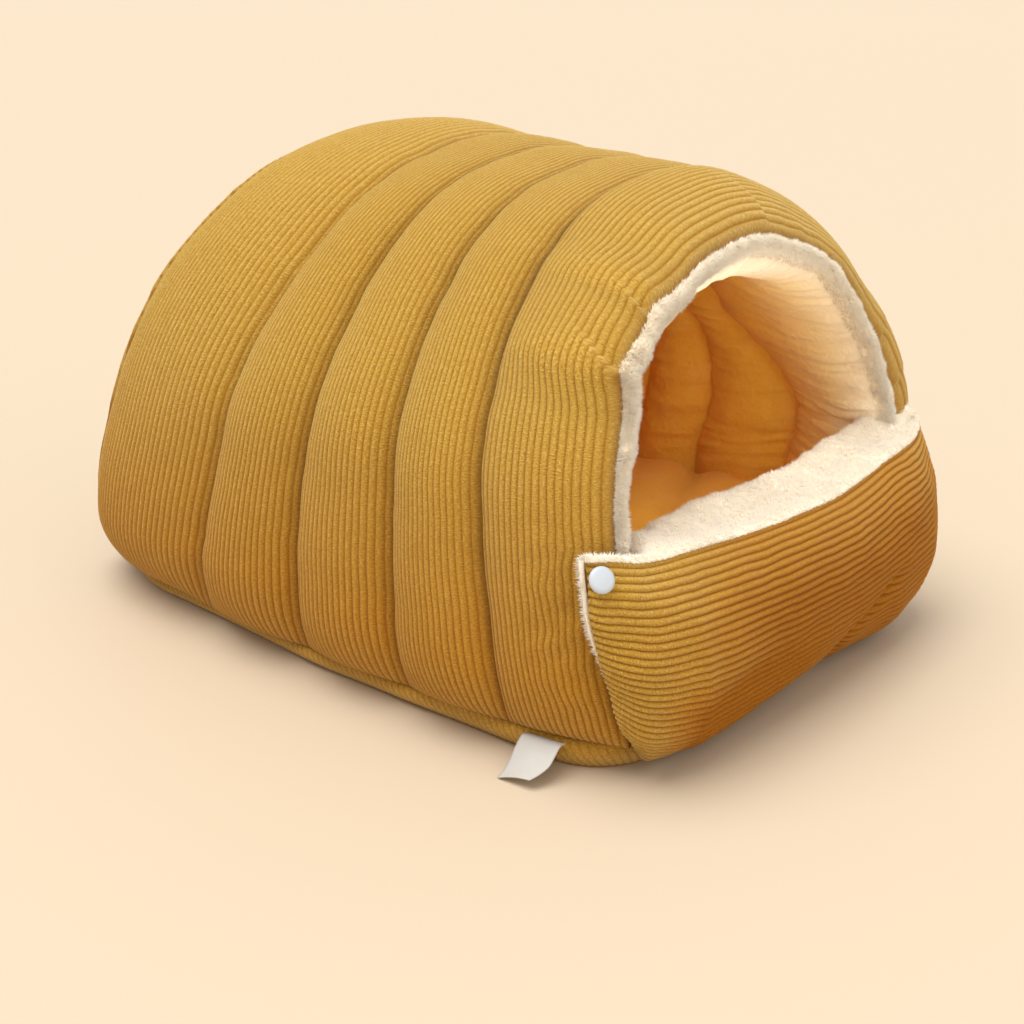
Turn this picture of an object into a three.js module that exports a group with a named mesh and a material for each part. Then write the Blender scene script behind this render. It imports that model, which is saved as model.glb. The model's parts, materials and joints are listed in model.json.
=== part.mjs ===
// A semi-enclosed pet bed: a quilted corduroy hood over a padded base, lined with plush,
// with a padded front flap fastened by a snap at each upper corner.
// Millimetres, +Z up. x is the width, y the depth with the mouth at -y, and the origin is
// the centre of the base on the surface the bed stands on.
import * as THREE from 'three';
import { mergeVertices } from 'three/addons/utils/BufferGeometryUtils.js';

// ---------------------------------------------------------------- driving sizes
const SEAM_THICK = 4; // quilt thickness where a channel is sewn down
const GAP = 0.4; // clear space between neighbouring pieces
const PLUSH = 2; // plush sheet thickness
const END_ROUND = 60; // length over which a channel closes at the base seam
const FLOOR_REF = 19; // height at which the lower seam positions are given
const RIDGE_REF = 304; // height at which the upper seam positions are given
const LIP = 7; // plush roll standing proud of the mouth's rim
const SNAP_R = 6.8;
const SNAP_H = 3.2;

// half section of the hood along a sewn valley, from the base seam up to the ridge
const ARCH = [
  { x: 165, z: 15 }, { x: 168.5, z: 30 }, { x: 171, z: 48 }, { x: 171.5, z: 75 },
  { x: 172, z: 95 }, { x: 171, z: 128 }, { x: 168.5, z: 162 }, { x: 160, z: 190 },
  { x: 142, z: 222 }, { x: 120, z: 250 }, { x: 97, z: 273 }, { x: 70, z: 290 },
  { x: 36, z: 300 }, { x: 0, z: 304 },
];
// half section of the rear seam, drawn in at the foot round the base's rear corner
const ARCH_REAR = [
  { x: 120, z: 12 }, { x: 136, z: 28 }, { x: 149, z: 50 }, { x: 156, z: 80 },
  { x: 158, z: 110 }, { x: 156, z: 142 }, { x: 151, z: 172 }, { x: 141, z: 202 },
  { x: 125, z: 229 }, { x: 102, z: 254 }, { x: 74, z: 275 }, { x: 39, z: 288 }, { x: 0, z: 292 },
];
// the mouth's rim, uneven as sewn: left half and right half, from the base seam to the top
const RIM_LEFT = [
  { x: 150, z: 20 }, { x: 152, z: 60 }, { x: 152, z: 100 }, { x: 151, z: 132 },
  { x: 146, z: 170 }, { x: 134, z: 214 }, { x: 120, z: 239 }, { x: 97, z: 254 },
  { x: 62, z: 261 }, { x: 30, z: 265 }, { x: 0, z: 266 },
];
const RIM_RIGHT = [
  { x: 150, z: 20 }, { x: 151, z: 60 }, { x: 150, z: 100 }, { x: 145, z: 140 },
  { x: 135, z: 162 }, { x: 125, z: 184 }, { x: 112, z: 204 }, { x: 95, z: 223 },
  { x: 68, z: 244 }, { x: 32, z: 261 }, { x: 0, z: 266 },
];
// seams from the rear to the front: depth at the floor and at the ridge, foot and ridge heights,
// and how far the foot is tucked in under the side
const SEAMS = [
  { yFoot: 238, yRidge: 112, foot: 12, ridge: 292, tuck: 0, half: ARCH_REAR },
  { yFoot: 93, yRidge: -5, foot: 12, ridge: 306, tuck: 9, half: ARCH },
  { yFoot: -2, yRidge: -48, foot: 14, ridge: 301, tuck: 4, half: ARCH },
  { yFoot: -90, yRidge: -93, foot: 16, ridge: 297, tuck: 1, half: ARCH },
  { yFoot: -167, yRidge: -137, foot: 19, ridge: 293, tuck: 0, half: ARCH },
];
const RIM_PLANE = { yFoot: -227, zBend: 132, yRidge: -209.5 };
// channels between the seams, rear to front: how far each stands out and in, and the share
// of that left at the ridge, where the filling is stretched flat
const CHANNELS = [
  { out: 20, in: 14, atRidge: 0.5 }, { out: 18, in: 14, atRidge: 0.32 }, { out: 18, in: 14, atRidge: 0.32 },
  { out: 18, in: 14, atRidge: 0.36 }, { out: 18, in: 10, atRidge: 0.95 },
];
const ACROSS = [0, 0.14, 0.5, 0.86, 1]; // stations across one channel
const NEAR_FOOT = [0, 6, 18, 38, 60]; // stations up from the base seam
const UP_TO_RIDGE = 12; // even stations from there to the ridge

// front flap: upper edge from the left corner to the right one
const FLAP_TOP = [
  { x: -190, y: -232, z: 135.5 }, { x: -176, y: -237, z: 133 }, { x: -159, y: -242, z: 128.5 },
  { x: -136, y: -246, z: 126.5 }, { x: -107, y: -250, z: 125 }, { x: -74, y: -253, z: 124 },
  { x: -41, y: -255, z: 123 }, { x: 0, y: -255, z: 121.5 }, { x: 42, y: -252, z: 122 },
  { x: 83, y: -248, z: 125 }, { x: 120, y: -243, z: 124.5 }, { x: 148, y: -237, z: 125.5 },
  { x: 168, y: -229, z: 127.5 }, { x: 182, y: -219, z: 129.5 },
];
// front flap: the seam that joins it to the base
const FLAP_FOOT = [
  { x: -155, y: -240, z: 20 }, { x: -146, y: -241.5, z: 12 }, { x: -128, y: -241, z: 7.5 },
  { x: -64, y: -240, z: 6.5 }, { x: 0, y: -240, z: 6.5 }, { x: 64, y: -240, z: 6.5 },
  { x: 124, y: -240, z: 8 }, { x: 148, y: -238, z: 17 }, { x: 160, y: -230, z: 30 },
];
const FLAP_OUT = 29; // outward crown
const FLAP_OUT_RIGHT = 21; // outward crown towards the right end
const FLAP_SIDE = 10; // how far the left end bows out sideways
const FLAP_IN = 33; // inward crown, plush side
const FLAP_INSIDE_Z = 48; // height at which the flap's inner face meets the base
const FLAP_STATIONS = 22;
const FLAP_DROP = [0, 0.05, 0.14, 0.28, 0.46, 0.64, 0.8, 0.92, 1];

// base: level loops from the surface up; w is the half width
const BASE = [
  { z: 0, w: 155, front: -229, rear: 228, rFront: 34, rRear: 84 },
  { z: 2.5, w: 162, front: -236, rear: 236, rFront: 38, rRear: 88 },
  { z: 7, w: 166, front: -239, rear: 242, rFront: 42, rRear: 90 },
  { z: 10.6, w: 165, front: -239, rear: 240, rFront: 42, rRear: 90 },
  { z: 11.5, w: 140, front: -239, rear: 222, rFront: 34, rRear: 88 },
  { z: 34, w: 138, front: -239, rear: 212, rFront: 34, rRear: 84 },
  { z: 46, w: 130, front: -230, rear: 196, rFront: 30, rRear: 78 },
];
// floor mat inside: the same columns
const MAT = [
  { z: 46.6, w: 126, front: -176, rear: 160, rFront: 30, rRear: 60 },
  { z: 51, w: 138, front: -188, rear: 172, rFront: 40, rRear: 70 },
  { z: 59, w: 142, front: -192, rear: 176, rFront: 44, rRear: 74 },
  { z: 66, w: 138, front: -188, rear: 170, rFront: 42, rRear: 70 },
  { z: 70, w: 120, front: -170, rear: 150, rFront: 40, rRear: 60 },
  { z: 72, w: 70, front: -110, rear: 96, rFront: 30, rRear: 40 },
];
// blank ribbon label: its run from the base seam out to its tip
const LABEL = [
  { x: -164, z: 16.8 }, { x: -169, z: 17 }, { x: -175, z: 15.4 }, { x: -181, z: 11 },
  { x: -187, z: 6 }, { x: -195, z: 2.6 },
];
const LABEL_Y = { root: -206, width: 27, drift: 4, thick: 1 };

// ---------------------------------------------------------------- helpers
const V = (x, y, z) => new THREE.Vector3(x, y, z);
const mix = (a, b, t) => a + (b - a) * t;
const clamp = (t) => Math.min(1, Math.max(0, t));
const smooth = (t) => { const c = clamp(t); return c * c * (3 - 2 * c); };
const spline = (rows) => new THREE.CatmullRomCurve3(rows.map((r) => V(r.x, r.y ?? 0, r.z)), false, 'centripetal');

// a closed body from two grids of points with the same rows and columns, front face and back face
function shell(front, back) {
  const rows = front.length, cols = front[0].length;
  const pos = [], index = [];
  for (const grid of [front, back]) for (const row of grid) for (const p of row) pos.push(p.x, p.y, p.z);
  const a = (i, j) => i * cols + j, b = (i, j) => rows * cols + i * cols + j;
  const quad = (p, q, r, s) => index.push(p, q, r, p, r, s);
  for (let i = 0; i < rows - 1; i++) for (let j = 0; j < cols - 1; j++) {
    quad(a(i, j), a(i + 1, j), a(i + 1, j + 1), a(i, j + 1));
    quad(b(i, j), b(i, j + 1), b(i + 1, j + 1), b(i + 1, j));
  }
  for (let i = 0; i < rows - 1; i++) {
    quad(a(i, 0), b(i, 0), b(i + 1, 0), a(i + 1, 0));
    quad(a(i, cols - 1), a(i + 1, cols - 1), b(i + 1, cols - 1), b(i, cols - 1));
  }
  for (let j = 0; j < cols - 1; j++) {
    quad(a(0, j), a(0, j + 1), b(0, j + 1), b(0, j));
    quad(a(rows - 1, j), b(rows - 1, j), b(rows - 1, j + 1), a(rows - 1, j + 1));
  }
  return solid(pos, index);
}

// a closed body from a stack of loops with the same number of points, closed by a fan at each end
function stack(loops, first, last) {
  const n = loops[0].length, pos = [], index = [];
  for (const loop of loops) for (const p of loop) pos.push(p.x, p.y, p.z);
  for (let i = 0; i < loops.length - 1; i++) for (let j = 0; j < n; j++) {
    const k = (j + 1) % n;
    index.push(i * n + j, i * n + k, (i + 1) * n + k, i * n + j, (i + 1) * n + k, (i + 1) * n + j);
  }
  const c0 = loops.length * n, c1 = c0 + 1, top = (loops.length - 1) * n;
  pos.push(first.x, first.y, first.z, last.x, last.y, last.z);
  for (let j = 0; j < n; j++) {
    const k = (j + 1) % n;
    index.push(c0, k, j, c1, top + j, top + k);
  }
  return solid(pos, index);
}

// merged vertices, faces turned out
function solid(pos, index) {
  let g = new THREE.BufferGeometry();
  g.setAttribute('position', new THREE.Float32BufferAttribute(pos, 3));
  g.setIndex(index);
  g = mergeVertices(g, 1e-3);
  const p = g.getAttribute('position').array, ix = [];
  const src = g.getIndex().array;
  let vol = 0;
  const at = (i) => V(p[3 * i], p[3 * i + 1], p[3 * i + 2]);
  for (let t = 0; t < src.length; t += 3) {
    const [i, j, k] = [src[t], src[t + 1], src[t + 2]];
    if (i === j || j === k || i === k) continue;
    ix.push(i, j, k);
    vol += at(i).dot(at(j).cross(at(k)));
  }
  if (vol < 0) for (let t = 0; t < ix.length; t += 3) [ix[t + 1], ix[t + 2]] = [ix[t + 2], ix[t + 1]];
  g.setIndex(ix);
  g.computeVertexNormals();
  return g;
}

// the rear seam's sloping plane
const rearFoot = V(0, SEAMS[0].yFoot, FLOOR_REF), rearRidge = V(0, SEAMS[0].yRidge, RIDGE_REF);
const slopeUp = rearRidge.clone().sub(rearFoot).normalize();
const slopeOut = V(0, slopeUp.z, -slopeUp.y);

// ---------------------------------------------------------------- hood
// sewn valley number k at arch station d, a distance up from the foot on side -1 or 1
const ARCH_CURVES = SEAMS.map((s) => spline(s.half));
const RIM_CURVES = { '-1': spline(RIM_LEFT), 1: spline(RIM_RIGHT) };
const ARCH_LENGTH = spline(ARCH).getLength();
const stations = [...NEAR_FOOT];
for (let i = 1; i <= UP_TO_RIDGE; i++) stations.push(mix(END_ROUND, ARCH_LENGTH, i / UP_TO_RIDGE));
const ALONG = [...stations.map((d) => ({ side: -1, d })), ...stations.slice(0, -1).reverse().map((d) => ({ side: 1, d }))];

function valley(k, { side, d }) {
  const u = clamp(d / ARCH_LENGTH);
  if (k === SEAMS.length) {
    const p = RIM_CURVES[side].getPointAt(u);
    const y = p.z < RIM_PLANE.zBend ? RIM_PLANE.yFoot
      : mix(RIM_PLANE.yFoot, RIM_PLANE.yRidge, (p.z - RIM_PLANE.zBend) / (RIDGE_REF - RIM_PLANE.zBend));
    return V(side * p.x, y, p.z);
  }
  const s = SEAMS[k], p = ARCH_CURVES[k].getPointAt(u), z0 = s.half[0].z, z1 = s.half.at(-1).z;
  const z = mix(s.foot, s.ridge, (p.z - z0) / (z1 - z0));
  p.x -= s.tuck * (1 - smooth((z - s.foot) / 55));
  return V(side * p.x, mix(s.yFoot, s.yRidge, (z - FLOOR_REF) / (RIDGE_REF - FLOOR_REF)), z);
}

// point on the flat sheet between valleys k and k + 1, and its outward normal
const between = (k, f, at) => valley(k, at).lerp(valley(k + 1, at), f);
function outward(k, f, at) {
  const e = 2;
  const shift = (d) => (at.d + d > ARCH_LENGTH ? { side: -at.side, d: 2 * ARCH_LENGTH - at.d - d } : { side: at.side, d: Math.max(0, at.d + d) });
  const up = between(k, f, shift(e)).sub(between(k, f, shift(-e))).multiplyScalar(-at.side);
  const ahead = valley(k + 1, at).sub(valley(k, at));
  const n = ahead.cross(up).normalize();
  const out = between(k, f, at).sub(V(0, 0, 110)).setY(0);
  if (n.dot(out) < 0) n.negate();
  // the rear edge is cut off in the rear seam's own plane
  if (k === 0 && f === 0) n.addScaledVector(slopeOut, -n.dot(slopeOut)).normalize();
  return n;
}
const dome = (f) => Math.pow(Math.max(0, 1 - (2 * f - 1) ** 2), 0.72);
const foot = (d) => Math.sqrt(1 - (1 - clamp(d / END_ROUND)) ** 2);

// height of the quilt above (side 'out') or below (side 'in') the sewn sheet
function crown(k, f, at, which) {
  const width = valley(k, at).distanceTo(valley(k + 1, at));
  const top = mix(1, CHANNELS[k].atRidge, smooth((at.d / ARCH_LENGTH - 0.62) / 0.3));
  const most = Math.min(CHANNELS[k][which], (which === 'out' ? 0.36 : 0.28) * width);
  return most * top * dome(f) * foot(at.d);
}

// rows run along the arch, columns from the rear seam to the rim
function hoodGrid(offset, from = 0) {
  return ALONG.filter((at) => at.d >= from).map((at) => {
    const row = [];
    for (let k = 0; k < CHANNELS.length; k++) for (const f of k ? ACROSS.slice(1) : ACROSS) {
      row.push(between(k, f, at).addScaledVector(outward(k, f, at), offset(k, f, at)));
    }
    return row;
  });
}
const hoodOuter = hoodGrid((k, f, at) => crown(k, f, at, 'out'));
const hoodInner = hoodGrid((k, f, at) => -SEAM_THICK - crown(k, f, at, 'in'));
const hoodQuilt = shell(hoodOuter, hoodInner);

// lining: the same sheet inside the quilt, with a roll standing proud of the rim above the flap
const liningDepth = (extra) => (k, f, at) => -SEAM_THICK - crown(k, f, at, 'in') - extra;
function withLip(grid, depth) {
  const rows = ALONG.filter((at) => at.d >= NEAR_FOOT[2]);
  return grid.map((row, i) => {
    const at = rows[i], rim = valley(SEAMS.length, at), last = row.at(-1);
    const proud = mix(1, LIP, smooth((rim.z - 128) / 14));
    const n = outward(SEAMS.length - 1, 1, at);
    // the roll swells towards the rim seam from inside
    const tip = last.clone().add(V(0, -proud, 0)).addScaledVector(n, depth * Math.min(1, proud / LIP));
    return [...row, tip];
  });
}
const liningOuter = withLip(hoodGrid(liningDepth(GAP), NEAR_FOOT[2]), 2.5);
const liningInner = withLip(hoodGrid(liningDepth(GAP + PLUSH), NEAR_FOOT[2]), -1);
const hoodLining = shell(liningOuter, liningInner);

// ---------------------------------------------------------------- back panel
// it lies in the rear seam's sloping plane; loops shrink from the seam to the middle
const rearOutline = [];
for (const { side, d } of ALONG) rearOutline.push(valley(0, { side, d }));
for (const t of [0.25, 0.5, 0.75]) rearOutline.push(rearOutline[ALONG.length - 1].clone().lerp(rearOutline[0], t));
const rearMid = V(0, 0, 128);
rearMid.y = mix(rearFoot.y, rearRidge.y, (rearMid.z - FLOOR_REF) / (RIDGE_REF - FLOOR_REF));
const rearLoop = (inset, lift) => rearOutline.map((p) => {
  const v = p.clone().sub(rearMid), len = v.length();
  return rearMid.clone().addScaledVector(v, Math.max(0.06, (len - inset) / len)).addScaledVector(slopeOut, lift);
});
const backPanel = stack(
  [rearLoop(70, -11), rearLoop(40, -8), rearLoop(20, -3.5), rearLoop(9, 0.8), rearLoop(0, 0.8), rearLoop(0, 0.8 + SEAM_THICK),
    rearLoop(9, 12), rearLoop(30, 19), rearLoop(70, 24)],
  rearMid.clone().addScaledVector(slopeOut, -13), rearMid.clone().addScaledVector(slopeOut, 26),
);
const backLining = stack(
  [rearLoop(70, -12.2 - PLUSH), rearLoop(40, -9.2 - PLUSH), rearLoop(20, -4.6 - PLUSH), rearLoop(16, -3.2 - PLUSH),
    rearLoop(16, -3.2), rearLoop(20, -4.6), rearLoop(40, -9.2), rearLoop(70, -12.2)],
  rearMid.clone().addScaledVector(slopeOut, -14.2 - PLUSH), rearMid.clone().addScaledVector(slopeOut, -14.2),
);

// ---------------------------------------------------------------- base and floor mat
// the plan narrows a little towards the rear
const taper = (y) => 1 - 0.1 * smooth((y + 50) / 230);
function levelLoop({ z, w, front, rear, rFront, rRear }) {
  const pts = [], arc = (cx, cy, r, a0, n) => {
    for (let i = 0; i <= n; i++) pts.push(V(cx + r * Math.cos(a0 + (i / n) * Math.PI / 2), cy + r * Math.sin(a0 + (i / n) * Math.PI / 2), z));
  };
  const run = (x0, y0, x1, y1, n) => { for (let i = 1; i < n; i++) pts.push(V(mix(x0, x1, i / n), mix(y0, y1, i / n), z)); };
  arc(w - rRear, rear - rRear, rRear, 0, 6);
  run(w - rRear, rear, rRear - w, rear, 3);
  arc(rRear - w, rear - rRear, rRear, Math.PI / 2, 6);
  run(-w, rear - rRear, -w, front + rFront, 6);
  arc(rFront - w, front + rFront, rFront, Math.PI, 5);
  run(rFront - w, front, w - rFront, front, 5);
  arc(w - rFront, front + rFront, rFront, -Math.PI / 2, 5);
  run(w, front + rFront, w, rear - rRear, 6);
  for (const p of pts) p.x *= taper(p.y);
  return pts;
}
const level = (rows, topZ) => stack(rows.map(levelLoop), V(0, 0, rows[0].z), V(0, 0, topZ));
const basePad = level(BASE, BASE.at(-1).z);
const floorMat = level(MAT, 72.6);

// ---------------------------------------------------------------- front flap
const flapTop = spline(FLAP_TOP), flapFoot = spline(FLAP_FOOT);
// 0 at the two ends of the flap, 1 where it is full
const full = (t) => Math.pow(clamp(Math.min(t, 1 - t) / 0.14), 0.55);
const inner01 = (x) => smooth((x < 0 ? 138 + x : 132 - x) / 18);
function flapAway(t) {
  const tan = flapTop.getTangentAt(clamp(t)).setZ(0).normalize();
  return V(tan.y, -tan.x, 0);
}
// the left end bows out sideways between its corners
const flapSide = (t, v) => V(-FLAP_SIDE * Math.sin(Math.PI * clamp(v)) ** 0.8 * (1 - smooth(t / 0.16)), 0, 0);
function flapOuter(t, v) {
  const p = flapTop.getPointAt(t).lerp(flapFoot.getPointAt(t), v);
  const bow = Math.pow(Math.max(0, 1 - (2 * v - 1) ** 2), 0.7);
  const most = mix(FLAP_OUT, FLAP_OUT_RIGHT, smooth((t - 0.72) / 0.2));
  return p.addScaledVector(flapAway(t), mix(6, most, full(t)) * bow).add(flapSide(t, v));
}
function flapInner(t, v) {
  const top = flapTop.getPointAt(t), low = flapFoot.getPointAt(t);
  const k = inner01(top.x), overBase = smooth((164 - Math.abs(low.x)) / 16);
  top.add(V(0, 1.4, 0.4));
  low.z = mix(low.z + 5, FLAP_INSIDE_Z, overBase);
  low.y = mix(low.y + 3.2, -239.8, overBase);
  const p = top.lerp(low, v);
  const back = Math.pow(Math.max(0, 1 - (1 - clamp(v / 0.34)) ** 2), 0.55) * mix(1, 0.5, smooth((v - 0.55) / 0.4)) * (v > 0.94 ? 0.5 : 1);
  const lift = 20 * Math.sin(Math.PI * clamp(v / 0.5)) ** 1.2;
  return p.add(V(0, FLAP_IN * k * back * (v >= 1 ? 0 : 1), k * lift)).add(flapSide(t, v));
}
const flapT = Array.from({ length: FLAP_STATIONS + 1 }, (_, i) => {
  const u = i / FLAP_STATIONS;
  return u - 0.06 * Math.sin(2 * Math.PI * u); // closer together near the ends
});
const flapFront = flapT.map((t) => FLAP_DROP.map((v) => flapOuter(t, v)));
const flapBack = flapT.map((t) => FLAP_DROP.map((v) => flapInner(t, v)));
const frontFlap = shell(flapBack, flapFront);

// plush on the flap's inner face, moved off along the face's normal
function flapSheet(off) {
  const e = 0.01;
  return flapT.map((t) => FLAP_DROP.map((v) => {
    const p = flapInner(t, Math.min(v, 0.999));
    const dt = flapInner(Math.min(1, t + e), v < 1 ? v : 0.93).sub(flapInner(Math.max(0, t - e), v < 1 ? v : 0.93));
    const v0 = clamp(v - e), v1 = Math.min(0.93, v0 + 2 * e), dv = flapInner(t, Math.max(v1, v0 + 1e-3)).sub(flapInner(t, v0));
    const n = dv.cross(dt).normalize();
    if (n.y < 0 && v > 0.3) n.negate();
    if (n.z < 0 && v <= 0.3) n.negate();
    return p.addScaledVector(n, off);
  }));
}
const flapLining = shell(flapSheet(GAP + PLUSH), flapSheet(GAP));

// ---------------------------------------------------------------- snaps and label
const capProfile = [[0, 0], [SNAP_R - 0.6, 0], [SNAP_R, 0.7], [SNAP_R - 0.4, 1.9], [SNAP_R - 2, SNAP_H - 0.4], [0, SNAP_H]]
  .map(([r, h]) => new THREE.Vector2(r, h));
function snapCap(t, v) {
  const e = 0.015, p = flapOuter(t, v);
  const dt = flapOuter(t + e, v).sub(flapOuter(t - e, v)), dv = flapOuter(t, v + e).sub(flapOuter(t, v - e));
  const n = dv.cross(dt).normalize();
  if (n.dot(flapAway(t)) < 0) n.negate();
  const raw = new THREE.LatheGeometry(capProfile, 20);
  const g = solid([...raw.getAttribute('position').array], [...raw.getIndex().array]);
  return { geometry: g, place: p.addScaledVector(n, 1.3), turn: new THREE.Quaternion().setFromUnitVectors(V(0, 1, 0), n) };
}
const snapLeft = snapCap(0.024, 0.07), snapRight = snapCap(0.981, 0.24);

function labelGrid(up) {
  const run = spline(LABEL), n = 10, rows = [];
  for (let i = 0; i <= n; i++) {
    const u = i / n, p = run.getPointAt(u), tan = run.getTangentAt(u), row = [];
    const nx = -tan.z, nz = tan.x; // across the ribbon's face
    for (let j = 0; j <= 2; j++) {
      const w = j / 2, y = LABEL_Y.root + LABEL_Y.width * w + LABEL_Y.drift * u * u;
      row.push(V(p.x - nx * up, y, p.z - nz * up + (j === 1 ? 0.6 * u : 0)));
    }
    rows.push(row);
  }
  return rows;
}
const label = shell(labelGrid(0), labelGrid(LABEL_Y.thick));

// ---------------------------------------------------------------- scene graph
const corduroy = () => new THREE.MeshStandardMaterial({ color: 0xcf9f45, roughness: 0.92, metalness: 0 });
const plush = () => new THREE.MeshStandardMaterial({ color: 0xf6ead6, roughness: 0.97, metalness: 0 });
const ribbon = () => new THREE.MeshStandardMaterial({ color: 0xf2f1ee, roughness: 0.7, metalness: 0 });
const cap = () => new THREE.MeshStandardMaterial({ color: 0xeef0f4, roughness: 0.35, metalness: 0 });

const bed = new THREE.Group();
function add(name, geometry, material, place, turn) {
  const mesh = new THREE.Mesh(geometry, material);
  mesh.name = name;
  if (place) mesh.position.copy(place);
  if (turn) mesh.quaternion.copy(turn);
  bed.add(mesh);
}
add('hood_quilt', hoodQuilt, corduroy());
add('hood_lining', hoodLining, plush());
add('back_panel', backPanel, corduroy());
add('back_lining', backLining, plush());
add('base_pad', basePad, corduroy());
add('floor_mat', floorMat, plush());
add('front_flap', frontFlap, corduroy());
add('flap_lining', flapLining, plush());
add('snap_cap_left', snapLeft.geometry, cap(), snapLeft.place, snapLeft.turn);
add('snap_cap_right', snapRight.geometry, cap(), snapRight.place, snapRight.turn);
add('label', label, ribbon());

export default bed;
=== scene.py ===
# A semi-enclosed pet bed in mustard corduroy with a plush lining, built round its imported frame.
# Lengths in the tables are millimetres; meshes are written in metres.
import json
import math
import bpy
import numpy as np
from mathutils import Matrix, Vector

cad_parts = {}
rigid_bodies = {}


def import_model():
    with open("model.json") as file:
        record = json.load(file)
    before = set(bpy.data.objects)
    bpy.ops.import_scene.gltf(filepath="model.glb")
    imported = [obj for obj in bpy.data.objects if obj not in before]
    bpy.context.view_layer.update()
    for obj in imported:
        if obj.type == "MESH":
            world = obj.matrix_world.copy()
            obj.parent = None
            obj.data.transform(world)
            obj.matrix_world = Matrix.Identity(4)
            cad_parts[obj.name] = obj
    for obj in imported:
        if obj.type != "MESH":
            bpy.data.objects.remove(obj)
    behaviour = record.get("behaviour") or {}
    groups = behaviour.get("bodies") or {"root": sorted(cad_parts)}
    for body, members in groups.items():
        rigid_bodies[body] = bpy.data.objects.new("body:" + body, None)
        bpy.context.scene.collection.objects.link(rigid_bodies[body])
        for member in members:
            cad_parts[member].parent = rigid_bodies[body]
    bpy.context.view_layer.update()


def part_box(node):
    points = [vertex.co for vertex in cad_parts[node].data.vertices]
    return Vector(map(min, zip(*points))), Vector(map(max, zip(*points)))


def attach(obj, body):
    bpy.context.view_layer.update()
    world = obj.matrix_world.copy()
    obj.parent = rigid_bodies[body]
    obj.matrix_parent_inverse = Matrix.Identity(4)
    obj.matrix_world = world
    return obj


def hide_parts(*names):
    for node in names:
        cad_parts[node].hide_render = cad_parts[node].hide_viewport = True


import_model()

MM = 0.001
RNG = np.random.default_rng(20517)


# ------------------------------------------------------------------ small tools
def smooth(t):
    t = np.clip(t, 0.0, 1.0)
    return t * t * (3 - 2 * t)


def mix(a, b, t):
    return a + (b - a) * t


def unit(v):
    return v / np.maximum(np.linalg.norm(v, axis=-1, keepdims=True), 1e-9)


def noise(p, size, seed=0):
    """Smooth value noise from -1 to 1 over points of any shape (..., 3), with features of a size in mm."""
    q = np.asarray(p, float) / size + 731.0
    i = np.floor(q).astype(np.int64)
    f = q - i
    f = f * f * (3 - 2 * f)

    def corner(dx, dy, dz):
        n = (i[..., 0] + dx) * 374761393 + (i[..., 1] + dy) * 668265263 + (i[..., 2] + dz) * 1274126177 + seed * 974634777
        n = n & 0xFFFFFFFF
        n = ((n ^ (n >> 13)) * 1274126177) & 0xFFFFFFFF
        n = n ^ (n >> 16)
        return (n & 0xFFFFFF) / float(0xFFFFFF)

    out = 0.0
    for dx in (0, 1):
        for dy in (0, 1):
            for dz in (0, 1):
                w = (f[..., 0] if dx else 1 - f[..., 0]) * (f[..., 1] if dy else 1 - f[..., 1]) * (f[..., 2] if dz else 1 - f[..., 2])
                out = out + w * corner(dx, dy, dz)
    return out * 2 - 1


def noise1(x, size, seed=0):
    x = np.asarray(x, float)
    return noise(np.stack([x, np.zeros_like(x) + 37.7 * seed, np.zeros_like(x)], -1), size, seed)


def spline(rows):
    """Centripetal curve through rows of points; returns a function of the share of its length, and the length."""
    p = np.array(rows, float)
    e = np.vstack([2 * p[0] - p[1], p, 2 * p[-1] - p[-2]])
    out = []
    for i in range(len(p) - 1):
        p0, p1, p2, p3 = e[i:i + 4]
        d0, d1, d2 = (max(float(np.sum((b - a) ** 2)) ** 0.25, 1e-4) for a, b in ((p0, p1), (p1, p2), (p2, p3)))
        t1 = ((p1 - p0) / d0 - (p2 - p0) / (d0 + d1) + (p2 - p1) / d1) * d1
        t2 = ((p2 - p1) / d1 - (p3 - p1) / (d1 + d2) + (p3 - p2) / d2) * d1
        s = np.linspace(0, 1, 40, endpoint=i == len(p) - 2)[:, None]
        out.append(p1 + t1 * s + (-3 * p1 + 3 * p2 - 2 * t1 - t2) * s ** 2 + (2 * p1 - 2 * p2 + t1 + t2) * s ** 3)
    q = np.vstack(out)
    run = np.concatenate([[0], np.cumsum(np.linalg.norm(np.diff(q, axis=0), axis=1))])

    def at(u):
        u = np.clip(np.asarray(u, float), 0, 1) * run[-1]
        return np.stack([np.interp(u, run, q[:, k]) for k in range(q.shape[1])], -1)

    at.length = run[-1]
    at.run, at.points = run, q
    return at


def grid_normals(g):
    """Normals of a grid of points (rows, columns, 3), from its own differences."""
    return unit(np.cross(np.gradient(g, axis=0), np.gradient(g, axis=1)))


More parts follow.
